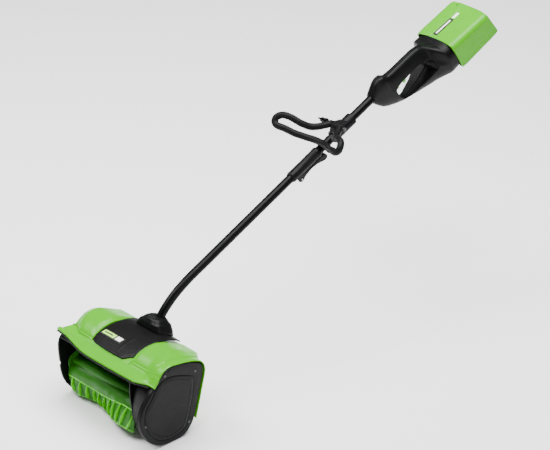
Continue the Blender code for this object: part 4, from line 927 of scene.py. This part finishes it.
def build_battery():
    def section(w, zt, zb, n=12):
        pts = []
        for cx, cz, r, a0, a1 in ((w - 15, zt - 15, 15, 0, 90), (-(w - 15), zt - 15, 15, 90, 180), (-(w - 9), zb + 9, 9, 180, 270), (w - 9, zb + 9, 9, 270, 360)):
            for i in range(n + 1):
                t = math.radians(a0 + (a1 - a0) * i / n)
                pts.append((cx + r * math.cos(t), cz + r * math.sin(t)))
        # extra points along the flat sides
        out = []
        for i, p in enumerate(pts):
            q = pts[(i + 1) % len(pts)]
            out.append(p)
            d = math.hypot(q[0] - p[0], q[1] - p[1])
            m = int(d / 1.6)
            for j in range(1, m):
                out.append((p[0] + (q[0] - p[0]) * j / m, p[1] + (q[1] - p[1]) * j / m))
        return out
    def slant(a, b, x):
        k = SLANT + 0.09 * smoothstep(HOUSING_A1 + 20, COVER_A1, a)
        return a + (0.0 if b > -6 else (-6 - b) * k) - BOW * (x / HOUSING_W) ** 2
    a0, a1 = HOUSING_A1 + 0.5, COVER_A1
    keys = [(a0, HOUSING_W + 1.0, -5.5, -91), (a0 + 14, HOUSING_W + 2.5, -5.5, -91.5), (a1 - 8, HOUSING_W + 3.0, -11, -88), (a1, HOUSING_W + 1.8, -12.4, -86.6)]
    def key(a):
        for p, q in zip(keys, keys[1:]):
            if a <= q[0]:
                s = (a - p[0]) / (q[0] - p[0])
                return [p[i] + (q[i] - p[i]) * s for i in (1, 2, 3)]
        return list(keys[-1][1:])
    m = 84
    st = [a0 + (a1 - a0) * i / m for i in range(m + 1)]
    # the section keeps one count of points along the length
    count = len(section(*key(a0 + 40)))
    ref = section(*key(a0 + 40))
    k0 = key(a0 + 40)
    outer, inner = [], []
    for a in st:
        w, zt, zb = key(a)
        ro, ri = [], []
        for x, b in ref:
            fx = w / k0[0]
            fb = (b - k0[2]) / (k0[1] - k0[2])
            xo, bo = x * fx, zb + (zt - zb) * fb
            wide = 1 + 0.03 * (zt - bo) / 80
            d = 0.0
            topside = smoothstep(-26, -14, bo - zt)
            # raised shoulders each side of a lower middle field
            if bo > zt - 4:
                d -= 0.9 * (1 - smoothstep(19.0, 20.6, abs(xo)))
                d += 0.35 * bump_at(abs(xo), 21.5, 1.0)
            # rim band at the rear
            d -= 0.7 * smoothstep(a1 - 10.5, a1 - 9.6, a) * (1 - smoothstep(a1 - 1.2, a1 - 0.2, a) * 0) if bo < zt - 15 else 0.0
            # soft edge at the joint
            d -= 0.8 * (1 - smoothstep(0, 1.6, a - a0)) ** 2
            # line along the lower side
            if abs(xo) > w - 6 and zb + 14 < bo < zb + 22:
                d -= 0.6 * bump_at(bo, zb + 18, 1.2)
            nx = 0.0 if abs(xo) < w - 14 else math.copysign(1, xo) * (smoothstep(-16, -6, -(zt - bo) + 0) * 0 + (1.0 if bo < zt - 15 else 0.5))
            nb = 1.0 if bo > zt - 4 else (-1.0 if bo < zb + 3 else 0.0)
            ln = max(1e-6, math.hypot(nx, nb))
            ro.append(L(xo * wide + nx / ln * d, slant(a, bo, xo * wide), bo + nb / ln * d))
            wi, ti, bi = w - 3, zt - 3, zb + 3
            ri.append(L(x * wi / k0[0] * wide, slant(a, bo, xo * wide), bi + (ti - bi) * fb))
        outer.append(ro)
        inner.append(ri)
    ob = add("look_battery_housing", *hollow(outer, inner), sharp=30)
    cut(ob, "DIFFERENCE", add("notch", *box_l(-36, 8, a1 - 15, a1 + 8, -24, 0)), sharp=30)
    place(ob, "upper_shaft", M["shell"], "green_shell", "battery_housing")

    def top_b(x, a):
        w, zt, zb = key(a)
        return zt - (0.9 if abs(x) < 19 else 0.0)
    def plate(name, x0, x1, p0, p1, h0, h1, mat):
        rings = []
        n = 10
        for i in range(n + 1):
            a = p0 + (p1 - p0) * i / n
            tp, bt = [], []
            for j in range(5):
                x = x0 + (x1 - x0) * j / 4
                e = 1.0 if (0 < i < n and 0 < j < 4) else 0.5
                tp.append(L(x, a, top_b(x, a) + h0 + (h1 - h0) * e))
                bt.append(L(x, a, top_b(x, a) + h0))
            rings.append(tp + bt[::-1])
        place(add(name, *loft(rings), sharp=50), "upper_shaft", mat, "black_plastic")
    plate("housing_label_field", -17.5, -3.5, 254, 322, 0.03, 0.4, M["badge_black"])
    plate("housing_label_bar", -12.8, -8.2, 260, 316, 0.42, 0.62, M["badge_white"])
    plate("housing_label_end", -14.5, -6.5, 325, 347, 0.03, 0.4, M["badge_white"])
    # release tab and pack
    o = copy_of("battery_release")
    moulded(o, 0.4, 2)
    place(o, "battery_latch", M["shell"], "green_shell", "battery_release")
    place(bevelled("battery_pack", 1.2, 3, 28), "battery", M["black"], "black_plastic", "battery_pack")


build_hood()
build_cover()
build_collar()
build_drive_cover()
build_side_parts()
build_impeller()
build_tubes()
build_coupling()
build_loop()
build_handle()
build_battery()


# ---------------------------------------------------------------- floor, light and camera

def build_stage():
    n = 24
    verts, faces = [], []
    size = 14.0
    for i in range(n + 1):
        for j in range(n + 1):
            verts.append((-size + 2 * size * i / n - 4.0, -size + 2 * size * j / n + 6.0, -0.0005))
    for i in range(n):
        for j in range(n):
            a = i * (n + 1) + j
            faces.append((a, a + n + 1, a + n + 2, a + 1))
    me = bpy.data.meshes.new("floor")
    me.from_pydata(verts, [], faces)
    ob = bpy.data.objects.new("floor", me)
    bpy.context.scene.collection.objects.link(ob)
    ob.data.materials.append(surface("floor_white", (0.95, 0.95, 0.95), 0.7, grain=(30, 0.02, 0.0005), vary=0.01, rough_vary=0.03, scale=1.2, spec=0.2))


def light(name, pos, target, size, power, size_y=None, colour=(1, 1, 1)):
    d = bpy.data.lights.new(name, "AREA")
    d.shape = "RECTANGLE"
    d.size = size
    d.size_y = size_y or size
    d.energy = power
    d.color = colour
    o = bpy.data.objects.new(name, d)
    bpy.context.scene.collection.objects.link(o)
    o.location = pos
    o.rotation_mode = "QUATERNION"
    o.rotation_quaternion = (Vector(target) - Vector(pos)).to_track_quat("-Z", "Y")
    return o


def build_light():
    w = bpy.data.worlds.new("studio")
    bpy.context.scene.world = w
    w.use_nodes = True
    bg = w.node_tree.nodes.get("Background")
    bg.inputs["Color"].default_value = (1, 1, 1, 1)
    bg.inputs["Strength"].default_value = 0.3
    mid = (0, 0.45, 0.35)
    light("key", (-1.6, -1.4, 3.4), mid, 1.8, 190, 1.8)
    light("side", (3.4, 0.2, 1.4), mid, 1.4, 34, 2.2)
    light("top", (0.2, 0.8, 4.2), mid, 3.4, 460, 3.0)


def build_camera():
    az, el, roll = math.radians(46), math.radians(27.29), math.radians(1.42)
    F = 2427.0
    c = Vector((math.sin(az) * math.cos(el), -math.cos(az) * math.cos(el), math.sin(el)))
    right = Vector((math.cos(az), math.sin(az), 0))
    up = Vector((-math.sin(az) * math.sin(el), math.cos(az) * math.sin(el), math.cos(el)))
    r = right * math.cos(roll) + up * math.sin(roll)
    u = -right * math.sin(roll) + up * math.cos(roll)
    Z = F / 0.42 * 0.001
    A = Vector((0, -.0016, .1029))
    x0, y0 = (120.79 - 275) / F * Z, (225 - 375.17) / F * Z
    C = A - r * x0 - u * y0 + c * Z
    cam = bpy.data.cameras.new("camera")
    cam.sensor_width = 36
    cam.lens = F / 550 * 36
    cam.clip_end = 60
    o = bpy.data.objects.new("camera", cam)
    bpy.context.scene.collection.objects.link(o)
    o.matrix_world = Matrix(((r.x, u.x, c.x, C.x), (r.y, u.y, c.y, C.y), (r.z, u.z, c.z, C.z), (0, 0, 0, 1)))
    bpy.context.scene.camera = o


build_stage()
build_light()
build_camera()
